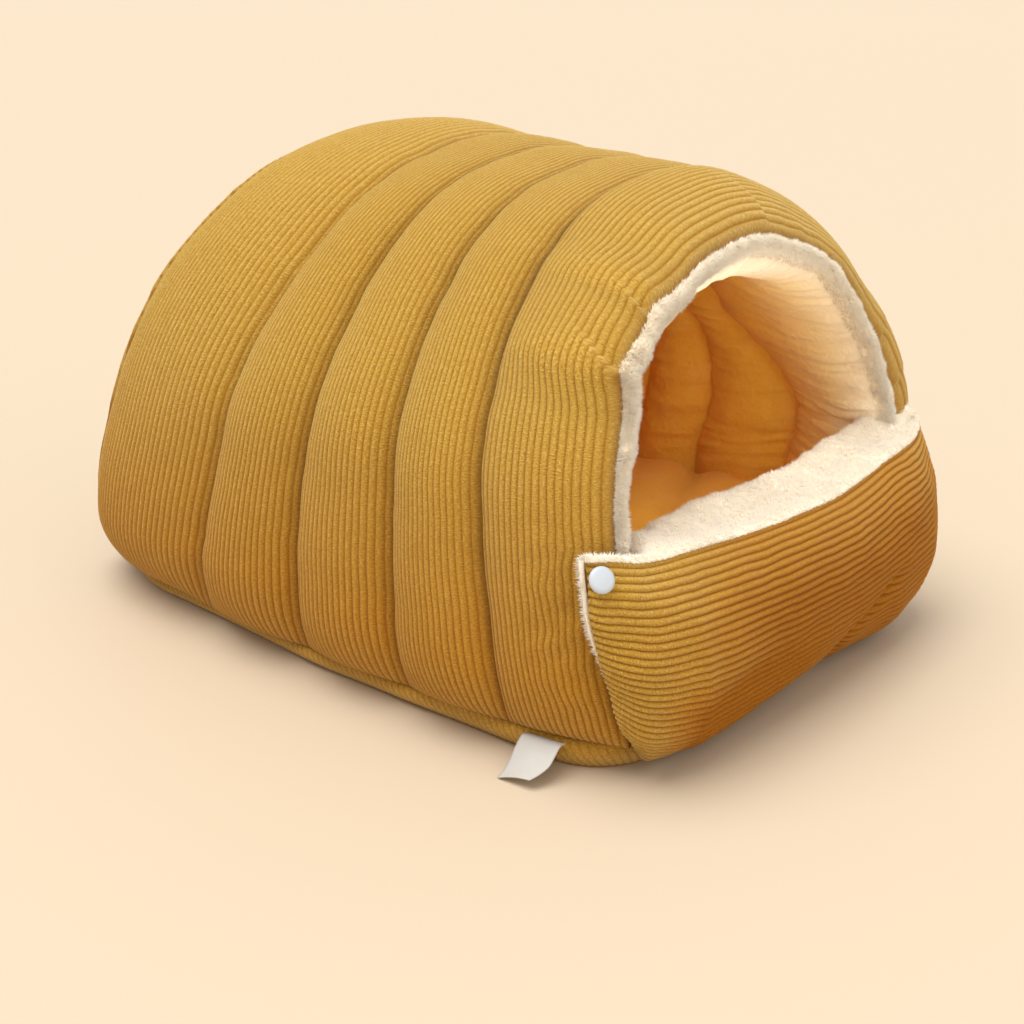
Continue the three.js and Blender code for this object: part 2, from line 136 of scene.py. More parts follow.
def make_mesh(name, verts, quads, tris, uv=None, attrs=None, smooth_shade=True):
    """A mesh object from arrays in mm. uv and attrs are per vertex."""
    quads = np.asarray(quads, np.int32).reshape(-1, 4)
    tris = np.asarray(tris, np.int32).reshape(-1, 3)
    v = np.asarray(verts, float)
    a, b, c = v[quads[:, 0]], v[quads[:, 1]], v[quads[:, 2]]
    vol = np.einsum("ij,ij->i", a, np.cross(b, c)).sum()
    a, b, c = v[quads[:, 0]], v[quads[:, 2]], v[quads[:, 3]]
    vol += np.einsum("ij,ij->i", a, np.cross(b, c)).sum()
    if len(tris):
        a, b, c = v[tris[:, 0]], v[tris[:, 1]], v[tris[:, 2]]
        vol += np.einsum("ij,ij->i", a, np.cross(b, c)).sum()
    if vol < 0:
        quads, tris = quads[:, ::-1], tris[:, ::-1]
    me = bpy.data.meshes.new(name)
    me.vertices.add(len(v))
    me.vertices.foreach_set("co", (v * MM).astype(np.float32).ravel())
    corners = np.concatenate([quads.ravel(), tris.ravel()]).astype(np.int32)
    me.loops.add(len(corners))
    me.loops.foreach_set("vertex_index", corners)
    me.polygons.add(len(quads) + len(tris))
    starts = np.concatenate([np.arange(len(quads)) * 4, len(quads) * 4 + np.arange(len(tris)) * 3]).astype(np.int32)
    me.polygons.foreach_set("loop_start", starts)
    me.update(calc_edges=True)
    me.validate()
    if smooth_shade:
        me.shade_smooth()
    else:
        me.shade_flat()
    if uv is not None:
        layer = me.uv_layers.new(name="cloth")
        layer.data.foreach_set("uv", np.asarray(uv, np.float32)[corners].ravel())
    for key, val in (attrs or {}).items():
        at = me.attributes.new(key, "FLOAT", "POINT")
        at.data.foreach_set("value", np.asarray(val, np.float32).ravel())
    ob = bpy.data.objects.new(name, me)
    bpy.context.scene.collection.objects.link(ob)
    return ob


def shell_mesh(name, fine, coarse, cols, uv=None, attrs=None):
    """A closed body: a fine face grid (R, C), and a back face (R, len(cols)) whose columns stand behind the fine
    columns named in cols. attrs are grids on the fine face."""
    R, C = fine.shape[:2]
    K = len(cols)
    assert cols[0] == 0 and cols[-1] == C - 1 and coarse.shape[:2] == (R, K)
    A = np.arange(R * C).reshape(R, C)
    B = R * C + np.arange(R * K).reshape(R, K)
    quads = [np.stack([A[:-1, :-1], A[1:, :-1], A[1:, 1:], A[:-1, 1:]], -1).reshape(-1, 4),
             np.stack([B[:-1, :-1], B[:-1, 1:], B[1:, 1:], B[1:, :-1]], -1).reshape(-1, 4),
             np.stack([A[:-1, 0], B[:-1, 0], B[1:, 0], A[1:, 0]], -1),
             np.stack([A[:-1, -1], A[1:, -1], B[1:, -1], B[:-1, -1]], -1)]
    tris = []
    for row, flip in ((0, False), (R - 1, True)):
        for j in range(K - 1):
            lo, hi = cols[j], cols[j + 1]
            mid = (lo + hi + 1) // 2
            for k in range(lo, hi):
                t = (A[row, k], A[row, k + 1], B[row, j] if k < mid else B[row, j + 1])
                tris.append(t[::-1] if flip else t)
            t = (A[row, mid], B[row, j + 1], B[row, j])
            tris.append(t[::-1] if flip else t)
    verts = np.vstack([fine.reshape(-1, 3), coarse.reshape(-1, 3)])
    full = {}
    for key, val in (attrs or {}).items():
        val = np.broadcast_to(np.asarray(val, float), (R, C))
        full[key] = np.concatenate([val.ravel(), val[:, cols].ravel()])
    if uv is not None:
        uv = np.vstack([uv.reshape(-1, 2), uv[:, cols].reshape(-1, 2)])
    return make_mesh(name, verts, np.vstack(quads), np.array(tris), uv, full)


def stack_mesh(name, loops, first, last, uv=None, attrs=None):
    """A closed body from a stack of closed loops (R, N, 3), with a fan at each end."""
    R, N = loops.shape[:2]
    A = np.arange(R * N).reshape(R, N)
    nxt = np.roll(A, -1, axis=1)
    quads = np.stack([A[:-1], nxt[:-1], nxt[1:], A[1:]], -1).reshape(-1, 4)
    c0, c1 = R * N, R * N + 1
    tris = np.concatenate([np.stack([np.full(N, c0), nxt[0], A[0]], -1), np.stack([np.full(N, c1), A[-1], nxt[-1]], -1)])
    verts = np.vstack([loops.reshape(-1, 3), [first], [last]])
    full = {k: np.concatenate([np.asarray(v, float).ravel(), [1, 1]]) for k, v in (attrs or {}).items()}
    if uv is not None:
        uv = np.vstack([uv.reshape(-1, 2), uv[0, :1], uv[-1, :1]])
    return make_mesh(name, verts, quads, tris, uv, full)


def fibres(name, points, normals, length, radius, lean=0.45, clump=7.0, seed=1, curl=0.35, shade=None):
    """Short pile: one closed tapered fibre at each point, leaning in clumps."""
    n = len(points)
    rng = np.random.default_rng(seed)
    nz = unit(normals)
    drift = np.stack([noise(points, clump, seed * 7 + k) for k in range(3)], -1)
    loose = rng.normal(0, 1, (n, 3))
    way = unit(nz + lean * drift * 1.6 + curl * loose * 0.6)
    side = unit(np.cross(way, rng.normal(0, 1, (n, 3))))
    other = np.cross(way, side)
    L = (length * rng.uniform(0.6, 1.25, n) * (1 + 0.25 * noise(points, clump * 1.4, seed + 90)))[:, None]
    r = (radius * rng.uniform(0.75, 1.25, n))[:, None]
    base = points - nz * 0.6
    ring = [base + r * (math.cos(a) * side + math.sin(a) * other) for a in (0.0, 2.0944, 4.18879)]
    bend = unit(loose + drift) * curl
    tip = base + L * unit(way + bend * 0.5) + nz * 0.6
    verts = np.stack([ring[0], ring[1], ring[2], tip], 1).reshape(-1, 3)
    o = (np.arange(n) * 4)[:, None]
    t = np.array([[0, 2, 1], [0, 1, 3], [1, 2, 3], [2, 0, 3]])
    tris = (o[:, :, None] + t[None]).reshape(-1, 3)
    tint_and_inner_shade = np.zeros(n) if shade is None else shade
    ob = make_mesh(name, verts, np.zeros((0, 4)), tris, None, {"tint_and_inner_shade": np.repeat(tint_and_inner_shade, 4), "tip": np.tile([0, 0, 0, 1.0], n)})
    return ob


# ------------------------------------------------------------------ the hood's sewn lines
SEAM_THICK, GAP, PLUSH, END_ROUND = 4.0, 0.4, 2.0, 60.0
FLOOR_REF, RIDGE_REF = 19.0, 304.0
# the rear seam lies in a sloping plane
SLOPE_UP = unit(np.array([0, 112.0 - 238.0, RIDGE_REF - FLOOR_REF]))
SLOPE_OUT = np.array([0, SLOPE_UP[2], -SLOPE_UP[1]])
# half section along a sewn valley: x, z
ARCH = ((165, 15), (168.5, 30), (171, 48), (171.5, 75), (172, 95), (171, 128), (168.5, 162), (160, 190), (142, 222),
        (120, 250), (97, 273), (70, 290), (36, 300), (0, 304))
ARCH_REAR = ((119, 12), (134, 28), (146, 50), (152.5, 80), (154, 110), (152.5, 142), (148.5, 172), (139.5, 202), (125, 229),
             (102, 254), (74, 275), (39, 288), (0, 292))
# the mouth's rim, left foot to right foot: x, z
RIM = ((-150, 20), (-152, 60), (-153, 100), (-152.7, 133.8), (-151.8, 151.1), (-149.3, 168.4), (-146.9, 176.5),
       (-144.5, 184.6), (-142, 193.1), (-141.3, 201), (-141.6, 209), (-142.0, 216.5), (-131.5, 226), (-116, 238),
       (-110.5, 244), (-92, 249.6), (-72.9, 258.5), (-48.2, 264.6), (-21.6, 268.4), (0, 266.8), (25.6, 260.3),
       (56.1, 249.3), (82.2, 230.7), (105.7, 205.7), (122.7, 180.1), (133.9, 156), (141, 130), (147, 100), (150, 60), (150, 20))
# seams, rear to front: y at the foot, y at the ridge, foot z, ridge z, tuck of the foot
SEAMS = ((238, 112, 12, 296, 0), (93, -5, 12, 306, 9), (-2, -48, 14, 301, 4), (-90, -93, 16, 297, 1), (-167, -137, 19, 293, 0))
# channels, rear to front: stand out, stand in, share of both left at the ridge, number of ribs
CHANNELS = ((19, 14, 0.72, 27), (18, 16, 0.34, 19), (18, 17, 0.32, 18), (18, 17, 0.36, 18), (18, 20, 0.95, 18))


def whole(half):
    return [(-x, z) for x, z in half] + [(x, z) for x, z in half[-2::-1]]


_arch, _rear, _rim = spline(whole(ARCH)), spline(whole(ARCH_REAR)), spline(RIM)
_rim_top = float(np.interp(0.0, _rim.points[:, 0], _rim.run)) / _rim.length
HALF = _arch.length / 2


# the lining's two front seams on the right wall lie further back than the quilt's: height, depth
INNER_SEAMS = {4: ((75, -138), (92, -140), (107, -144), (124, -147), (138, -146), (154, -139), (168, -130), (179, -119),
                   (191, -106), (203, -94), (222, -88), (255, -98), (293, -134)),
               3: ((74, -62), (86, -64), (104, -70), (121, -74), (141, -74), (160, -71), (178, -64), (191, -57),
                   (220, -54), (260, -70), (297, -93))}


def valley(k, s, inside=False):
    """Points of sewn line k at stations s, from -1 at the left foot through 0 at the ridge to 1 at the right foot."""
    s = np.asarray(s, float)
    if k == 5:
        u = np.where(s < 0, _rim_top * (1 + s), _rim_top + (1 - _rim_top) * s)
        x, z = np.moveaxis(_rim(u), -1, 0)
        y = np.where(z < 132, -227.0, -226.7 + 17.2 * (z - 132) / 172)
        y = y + 0.8 * noise1(s * HALF, 30, 5) * (np.abs(s) < 0.8)
        y = y - 9.0 * (1 - smooth((z - 22) / 60))
        return np.stack([x, y, z], -1)
    yf, yr, foot, ridge, tuck = SEAMS[k]
    x, z = np.moveaxis((_rear if k == 0 else _arch)((s + 1) / 2), -1, 0)
    lo, hi = (ARCH_REAR if k == 0 else ARCH)[0][1], (ARCH_REAR if k == 0 else ARCH)[-1][1]
    z = foot + (ridge - foot) * (z - lo) / (hi - lo)
    x = x - np.sign(s) * tuck * (1 - smooth((z - foot) / 55))
    y = yf + (yr - yf) * (z - FLOOR_REF) / (RIDGE_REF - FLOOR_REF)
    if k:
        y = y + 1.5 * noise1(s * HALF, 70, k) + 0.5 * noise1(s * HALF, 24, k + 20)
    if inside and k in INNER_SEAMS:
        zt, yt = zip(*INNER_SEAMS[k])
        y = mix(y, np.interp(z, zt, yt), smooth(s / 0.12))
    return np.stack([x, y, z], -1)


def channel(k, f, s, inside=False):
    """The flat sheet between lines k and k + 1 at shares f across and stations s, its outward normals and width."""
    e = 5.0 / HALF
    a, b = valley(k, s, inside), valley(k + 1, s, inside)
    s0, s1 = np.clip(s - e, -1, 1), np.clip(s + e, -1, 1)
    da, db = valley(k, s1, inside) - valley(k, s0, inside), valley(k + 1, s1, inside) - valley(k + 1, s0, inside)
    f = f[None, :, None]
    p = a[:, None] * (1 - f) + b[:, None] * f
    along = da[:, None] * (1 - f) + db[:, None] * f
    across = np.broadcast_to((b - a)[:, None], p.shape)
    n = unit(np.cross(along, across))
    out = p - np.array([0, 0, 110.0])
    out[..., 1] = 0
    n = np.where(np.sum(n * out, -1, keepdims=True) < 0, -n, n)
    if k == 0:  # the rear edge is cut off in the rear seam's own plane
        w = 1 - smooth(f / 0.3)
        n = unit(n - SLOPE_OUT * (w * np.sum(n * SLOPE_OUT, -1, keepdims=True)))
    return p, n, np.linalg.norm(b - a, axis=-1)


def swell(k, f, s, width, which):
    most = np.minimum(CHANNELS[k][which], (0.36, 0.28)[which] * width)
    d = HALF * (1 - np.abs(s))
    top = mix(1, CHANNELS[k][2], smooth((d / HALF - 0.62) / 0.3))
    foot = np.sqrt(1 - (1 - np.clip(d / END_ROUND, 0, 1)) ** 2)
    dome = np.power(np.maximum(0, 1 - (2 * f - 1) ** 2), 0.62 if which == 0 else 0.72)
    return (most * top * foot)[:, None] * dome[None]


def stations(n_foot, n_mid):
    d = np.concatenate([END_ROUND * np.linspace(0, 1, n_foot, endpoint=False) ** 1.5, np.linspace(END_ROUND, HALF, n_mid + 1)])
    s = d / HALF - 1
    return np.concatenate([s, -s[-2::-1]])


# ------------------------------------------------------------------ hood: corduroy quilt
RIB_AT = np.array([0.0, 0.2, 0.5, 0.8])
RIB_UP = np.array([0.0, 0.66, 1.0, 0.66])


def rib_columns(count):
    f = (np.arange(count)[:, None] + RIB_AT[None]).ravel() / count
    return np.append(f, 1.0), np.append(np.tile(RIB_UP, count), 0.0)


def painted_low_shade(p):
    """How deep the painted shade makes the corduroy's colour: 0 over the top of the bed, 1 near the floor."""
    return 0.84 * np.clip((200 - p[..., 2]) / 140, 0, 1) ** 1.2


def hood_stations():
    s = stations(12, 76)
    add_s = [(at + np.arange(-13, 14) * 1.5) / HALF for at, *_ in RIM_TUCKS[:2]]
    s = np.concatenate([s] + add_s)
    s = np.sort(s)
    keep = [s[0]]
    for x in s[1:]:
        if (x - keep[-1]) * HALF > 1.2:
            keep.append(x)
    if keep[-1] != s[-1]:
        keep[-1] = s[-1]
    return np.array(keep)


def build_hood():
    s = hood_stations()
    fine, back, rib, uv, cols, seam = [], [], [], [], [], []
    start = 0
    for k, (_, _, _, count) in enumerate(CHANNELS):
        f, up = rib_columns(count)
        p, n, width = channel(k, f, s)
        w = width[:, None]
        pitch = w / count
        rise = swell(k, f, s, width, 0)
        # soft unevenness of the filling, small tucks at the seams, gathers at the rim
        to_seam = np.minimum(f, 1 - f)[None] * w
        rise = rise * (1 + 0.05 * noise(p, 62, 3)) + 0.55 * noise(p, 34, 4) * np.minimum(1, to_seam / 14)
        d = HALF * (1 - np.abs(s))[:, None]
        tuck = noise1(s * HALF, 13, 40 + k)[:, None] * np.exp(-f[None] * w / 10) + noise1(s * HALF, 13, 41 + k)[:, None] * np.exp(-(1 - f)[None] * w / 10)
        rise = rise + 0.9 * tuck * (to_seam > 0.5) * np.minimum(1, d / 30)
        if k == 4:
            to_rim = (1 - f)[None] * w
            low_left = smooth((0.02 - s[:, None] - 0.62) / 0.1) * smooth(d / 40)
            # low on the left, where the flap's end pulls on it, the cloth is gathered
            by_flap = low_left * np.exp(-((to_rim - 26) / 17) ** 2)
            run = (s * HALF)[:, None]
            gather = noise1(run[:, 0], 7.5, 60)[:, None] * np.exp(-to_rim / 15) * np.minimum(1, to_rim / 3)
            folds = noise1(run + 0.55 * to_rim, 8.5, 64) + 0.6 * noise1(run - 0.3 * to_rim, 5.5, 65)
            rise = rise + 0.6 * gather + 1.5 * by_flap * folds
            # fuller where the side turns round to the rim on the right
            turn = np.sqrt(1 - (1 - np.clip(to_rim / 13, 0, 1)) ** 2) * smooth(f / 0.75)[None]
            up_right = smooth((p[..., 2] - 112) / 24) * np.exp(-(np.maximum(0, p[..., 2] - 158) / 58) ** 2)
            rise = rise + (s[:, None] > 0) * 9.5 * turn * up_right
            rise = rise + (s[:, None] < 0) * 2.0 * turn * smooth(d / 60)
            # the right shoulder sits lower than the left one
            rise = rise - 2.6 * smooth((s[:, None] - 0.02) / 0.16) * (1 - smooth((s[:, None] - 0.34) / 0.2)) * smooth(to_seam / 16)
            for at, deep, reach, slant in RIM_TUCKS:
                # cloth lapped over itself: full below the crease, dropped above it, and slowly rising again
                off = s[:, None] * HALF - at - slant * to_rim
                fade = np.exp(-(to_rim / reach) ** 2)
                step = smooth((off + 1.1) / 2.2)
                rise = rise + fade * deep * (0.5 * np.exp(np.minimum(off, 0) / 7) * (1 - step) - np.exp(-np.maximum(off, 0) / 8) * step)
        depth = np.minimum(1.25, 0.27 * pitch) * np.minimum(1, 0.35 + d / 25)
        rise = rise - depth * (1 - up)[None]
        q = p + n * rise[..., None]
        # the ribs wander a little along the cloth
        across = unit(np.gradient(p, axis=1))
        q = q + across * (0.3 * noise(p, 19, 8) * np.minimum(1, to_seam / 6))[..., None]
        if k == 4:
            q = q + across * (1.5 * noise(p, 11, 61) * by_flap)[..., None]
        u = np.broadcast_to((f * count + 40 * k)[None], rise.shape)
        v = np.broadcast_to((s * HALF / 5)[:, None], rise.shape)
        sl = slice(0 if k == 0 else 1, None)
        fine.append(q[:, sl]); uv.append(np.stack([u, v], -1)[:, sl]); rib.append(np.broadcast_to(up[None], rise.shape)[:, sl])
        # painted shade along the sewn valleys
        seam.append(np.exp(-to_seam / 3.0)[:, sl])
        pick = np.arange(0, len(f), 12)
        pick = np.append(pick[pick < len(f) - 6], len(f) - 1)
        inner = p[:, pick] - n[:, pick] * SEAM_THICK
        ps = slice(0 if k == 0 else 1, None)
        back.append(inner[:, ps])
        cols.extend((pick[ps] + start).tolist())
        start += len(f) - 1
    g = np.concatenate(fine, 1)
    return shell_mesh("hood_quilt_cloth", g, np.concatenate(back, 1), cols, np.concatenate(uv, 1),
                      {"rib": np.concatenate(rib, 1), "seam": np.concatenate(seam, 1), "painted_shade": painted_low_shade(g)})


# tucks at the rim: station in mm from the ridge, depth, reach into the channel, slant
def rim_station(x, z):
    i = int(np.argmin((_rim.points[:, 0] - x) ** 2 + (_rim.points[:, 1] - z) ** 2))
    u = _rim.run[i] / _rim.length
    return HALF * ((u / _rim_top - 1) if u < _rim_top else (u - _rim_top) / (1 - _rim_top))


RIM_TUCKS = ((rim_station(-142, 216.5), 6.5, 15.0, 0.45), (rim_station(-115, 239.5), 4.6, 13.0, 0.45),
             (rim_station(118, 188), 3.4, 12.0, 0.2), (rim_station(134, 157), 3.6, 11.0, 0.2))


# ------------------------------------------------------------------ hood: plush lining with its rolled lip
def lining_grid(s, shares, extra=GAP + PLUSH, fuzz=True):
    cols = []
    for k in range(5):
        f = shares
        p, n, width = channel(k, f, s, inside=True)
        w = width[:, None]
        from_a, from_b = f[None] * w, (1 - f)[None] * w
        sheet = SEAM_THICK
        if k == 4:  # the front pad: thin low on the left, full at the top and on the right, its face turning over the rim
            most = np.interp(s, [-1, -0.64, -0.54, -0.46, -0.36, -0.2, 0.0, 0.2, 0.4, 1.0], [6, 6.5, 13, 28, 40, 41, 34, 25, 19, 16])[:, None]
            dome = np.power(np.clip(1 - np.abs(2 * f - 1) ** 2.6, 0, 1), mix(0.55, 0.95, smooth((f - 0.5) / 0.5)))[None]
            d = HALF * (1 - np.abs(s))
            foot = np.sqrt(1 - (1 - np.clip(d / END_ROUND, 0, 1)) ** 2)
            stand = most * foot[:, None] * dome
            sheet = mix(SEAM_THICK, np.interp(s, [-1, -0.74, -0.66, -0.56, -0.44, -0.3, -0.1, 1], [2.2, 2.4, 4.4, 7.0, 8.0, 7.5, 7.0, 5.0])[:, None] * (1 + 0.22 * noise1(s * HALF, 15, 57) + 0.12 * noise1(s * HALF, 6, 58))[:, None], smooth((f - 0.7) / 0.3)[None])
        else:
            stand = swell(k, f, s, width, 1)
        rise = sheet + stand + extra
        if fuzz:
            near = 0.35 + np.exp(-from_a / 20) + np.exp(-from_b / 20)
            run = (s * HALF)[:, None] + 5.0 * noise(p, 34, 84 + k)
            edge = np.minimum(1, np.minimum(from_a, from_b) / 5)
            wr = 0.9 * noise1(run, 6.0, 80 + k) + 0.5 * noise1(run + 0.25 * from_a, 3.8, 86 + k)
            rise = rise + 1.3 * wr * near * edge
            fold = np.exp(-(noise1(run + 0.12 * from_a, 9.0, 90 + k) / 0.17) ** 2) + 0.6 * np.exp(-(noise1(run - 0.1 * from_b, 6.5, 70 + k) / 0.2) ** 2)
            fold = fold * np.clip(0.75 + 0.9 * noise(p, 26, 95 + k), 0, 1.4) * edge
            rise = rise - 1.7 * fold * np.minimum(1, 0.45 + 0.6 * near)
            rise = rise + 0.9 * noise(p, 19, 9) + 0.75 * noise(p, 7.5, 10) + 0.5 * noise(p, 3.4, 11)
            if k == 4:  # a fold across the front pad low on the right wall, the cloth below it falling back
                z = p[..., 2] - 131 + 0.06 * (p[..., 1] + 190)
                right = (s > 0)[:, None]
                rise = rise - right * (4.5 * np.exp(-(z / 4.0) ** 2) + 2.0 * smooth(-z / 12) * smooth((p[..., 2] - 60) / 30))
        q = p - n * rise[..., None]
        cols.append(q if k == 4 else q[:, :-1])
    return np.concatenate(cols, 1)


def rim_frame(s):
    rim = valley(5, s)
    _, n, _ = channel(4, np.array([0.985]), s)
    out = n[:, 0].copy()
    out[:, 1] *= 0.3
    return rim, unit(out)


def rim_roll(s, inner_end, steps, fuzz=True):
    """The lip: from the lining's inner face round its front to the corduroy's edge."""
    rim, out = rim_frame(s)
    show = smooth((rim[:, 2] - 118) / 14)[:, None]
    outer_end = rim - out * 1.0 + np.array([0, 1.0, 0])
    mid, half = (inner_end + outer_end) / 2, (outer_end - inner_end) / 2
    ahead = mix(1.6, np.interp(s, [-1, -0.7, -0.62, -0.5, -0.36, -0.1, 1], [3.2, 3.8, 5.0, 5.4, 4.4, 3.4, 3.2])[:, None], show) * (1 + 0.12 * noise1(s * HALF, 16, 90)[:, None] + 0.08 * noise1(s * HALF, 7, 91)[:, None])
    rows = []
    for a in (np.linspace(-1, 1, steps + 1)[1:]) * math.pi / 2:
        rows.append(mid + half * np.sin(a) + np.array([0, -1.0, 0]) * ahead * np.cos(a) ** 0.85)
    g = np.stack(rows, 1)
    if fuzz:
        nn = unit(g - mid[:, None])
        g = g + nn * ((0.55 * noise(g, 5.0, 12) + 0.4 * noise(g, 2.4, 13)) * show)[..., None]
    return g


LINING_F = (1 - np.cos(np.linspace(0, math.pi, 20)) * 0.55 - (1 - 2 * np.linspace(0, 1, 20)) * 0.45) / 2
ROLL = 8


def build_lining():
    s = stations(14, 222)
    s = s[HALF * (1 - np.abs(s)) >= 14]
    face = lining_grid(s, LINING_F)
    inner = np.concatenate([face, rim_roll(s, face[:, -1], ROLL)], 1)
    C = inner.shape[1]
    per = len(LINING_F) - 1
    outer = lining_grid(s, np.linspace(0, 1, 4), GAP, fuzz=False)
    rim, out = rim_frame(s)
    cols, back = [], []
    for k in range(5):
        for j in range(3):
            cols.append(int(round(k * per + j * per / 3)))
            back.append(outer[:, k * 3 + j])
    cols.append(C - 1)
    back.append(rim - out * 1.6 + np.array([0, 3.0, 0]))
    # painted shade deeper inside, and a slight warm tint everywhere on the lining
    ob = shell_mesh("hood_lining_plush", inner, np.stack(back, 1), cols, None, {"tint_and_inner_shade": np.maximum(inner_shade(inner), 0.16)})
    return ob, inner, s


def inner_shade(p):
    """Painted shade inside the cave, less at the front of the roof: 0 at the mouth, 1 deep inside."""
    roof = smooth((p[..., 2] - 222) / 30) * (1 - smooth((p[..., 1] + 172) / 50))
    return np.sqrt(smooth((p[..., 1] + 224) / 96)) * (1 - 0.75 * roof)


# ------------------------------------------------------------------ rear panel


def on_slope(x, z, lift):
    y = 238 + (112 - 238) * (z - FLOOR_REF) / (RIDGE_REF - FLOOR_REF)
    return np.stack([x, y, z], -1) + np.asarray(lift)[..., None] * SLOPE_OUT


def rear_section(x, inset=2.2):
    """Lowest and highest z of the panel at x, the panel standing a little inside the hood's own edge."""
    s = np.linspace(-1, 0, 600)
    v = valley(0, s)
    ax, az = -v[:, 0], v[:, 2]
    tx, tz = np.gradient(ax), np.gradient(az)
    size = np.hypot(tx, tz)
    ax, az = ax - inset * tz / size, az + inset * tx / size
    az[-1], ax[-1] = az[-2], 0.0
    i = int(np.argmax(ax))
    x = np.abs(x)
    low = np.where(x <= ax[0], az[0], np.interp(x, ax[:i + 1], az[:i + 1]))
    high = np.interp(x, ax[i:][::-1], az[i:][::-1])
    return low, high, ax[i]


def build_back():
    _, _, xmax = rear_section(np.array([0.0]))
    count = 62
    f, up = rib_columns(count)
    x = (2 * f - 1) * (xmax - 0.4)
    low, high, _ = rear_section(x)
    t = (1 - np.cos(np.linspace(0, math.pi, 96))) / 2
    z = low[None] + (high - low)[None] * t[:, None]
    X = np.broadcast_to(x[None], z.shape)
    edge = valley(0, np.linspace(-1, 1, 260))[:, [0, 2]]
    edge = np.vstack([edge, np.stack([np.linspace(edge[-1, 0], edge[0, 0], 60), np.full(60, edge[0, 1])], -1)])
    pts = np.stack([X.ravel(), z.ravel()], -1)
    dist = np.min(np.linalg.norm((pts[:, None] - edge[None]) * np.array([1, 1.093]), axis=-1), axis=1).reshape(z.shape)
    dome = np.sqrt(1 - (1 - np.clip(dist / 70, 0, 1)) ** 2)
    rim_pts = on_slope(X, z, 0)
    tuck = noise(rim_pts, 13, 31) * np.exp(-dist / 14) * np.minimum(1, dist / 3)
    rise = 0.5 + 24 * dome * (1 + 0.05 * noise(rim_pts, 70, 32)) + 1.3 * tuck + 0.8 * noise(rim_pts, 36, 33) * dome
    rise = rise - 1.2 * np.clip(dist / 5, 0, 1) * (1 - up)[None]
    fine = on_slope(X, z, rise)
    cols = list(range(0, len(x) - 1, 8)) + [len(x) - 1]
    xb, zb = X[:, cols], z[:, cols]
    back = on_slope(xb, zb, 0.3 - 10 * np.clip((dist[:, cols] - 12) / 60, 0, 1))
    uv = np.stack([np.broadcast_to((f * count)[None], z.shape), z / 5], -1)
    # the panel's edge is darkened where it meets the hood: painted shade
    return shell_mesh("back_panel_cloth", fine, back, cols, uv,
                      {"rib": np.broadcast_to(up[None], z.shape), "seam": np.exp(-dist / 3), "painted_shade": painted_low_shade(fine)})


def build_back_lining():
    n = 41
    _, _, xmax = rear_section(np.array([0.0]))
    x = np.linspace(-1, 1, n) * (xmax - 17)
    low, high, _ = rear_section(x)
    low, high = low + 15, high - 15
    high = np.maximum(high, low + 2)
    t = np.linspace(0, 1, 36)
    z = low[None] + (high - low)[None] * t[:, None]
    X = np.broadcast_to(x[None], z.shape)
    dist = np.minimum(np.minimum(z - low[None], high[None] - z), (xmax - 17 - np.abs(X)))
    lift = -3.0 - 11.5 * np.clip(dist / 60, 0, 1) ** 0.7
    face = on_slope(X, z, lift - PLUSH)
    face = face - SLOPE_OUT * (1.2 * noise(face, 26, 15))[..., None]
    cols = list(range(0, n, 4))
    back = on_slope(X, z, lift)[:, cols]
    return shell_mesh("back_lining_plush", face, back, cols, None, {"tint_and_inner_shade": inner_shade(face)})


# ------------------------------------------------------------------ base and floor mat
def taper(y):
    return 1 - 0.1 * smooth((y + 50) / 230)


def level_loop(w, front, rear, r_front, r_rear, n=420, shares=None):
    """A rounded rectangle in plan, resampled to n even points or to shares of its length, starting on the right side
    and going round by the rear."""
    pts = []

    def arc(cx, cy, r, a0):
        a = a0 + np.linspace(0, math.pi / 2, 40)
        pts.append(np.stack([cx + r * np.cos(a), cy + r * np.sin(a)], -1))

    arc(w - r_rear, rear - r_rear, r_rear, 0)
    arc(r_rear - w, rear - r_rear, r_rear, math.pi / 2)
    arc(r_front - w, front + r_front, r_front, math.pi)
    arc(w - r_front, front + r_front, r_front, 1.5 * math.pi)
    p = np.vstack(pts)
    p = np.vstack([p, p[:1]])
    run = np.concatenate([[0], np.cumsum(np.linalg.norm(np.diff(p, axis=0), axis=1))])
    u = (np.arange(n) / n if shares is None else shares) * run[-1]
    q = np.stack([np.interp(u, run, p[:, 0]), np.interp(u, run, p[:, 1])], -1)
    q[:, 0] *= taper(q[:, 1])
    return q, u


def foot_height(y):
    """Height of the hood's foot seam along the side."""
    return np.interp(y, [-230, -167, -90, -2, 93, 238], [20, 19, 16, 14, 12, 12])


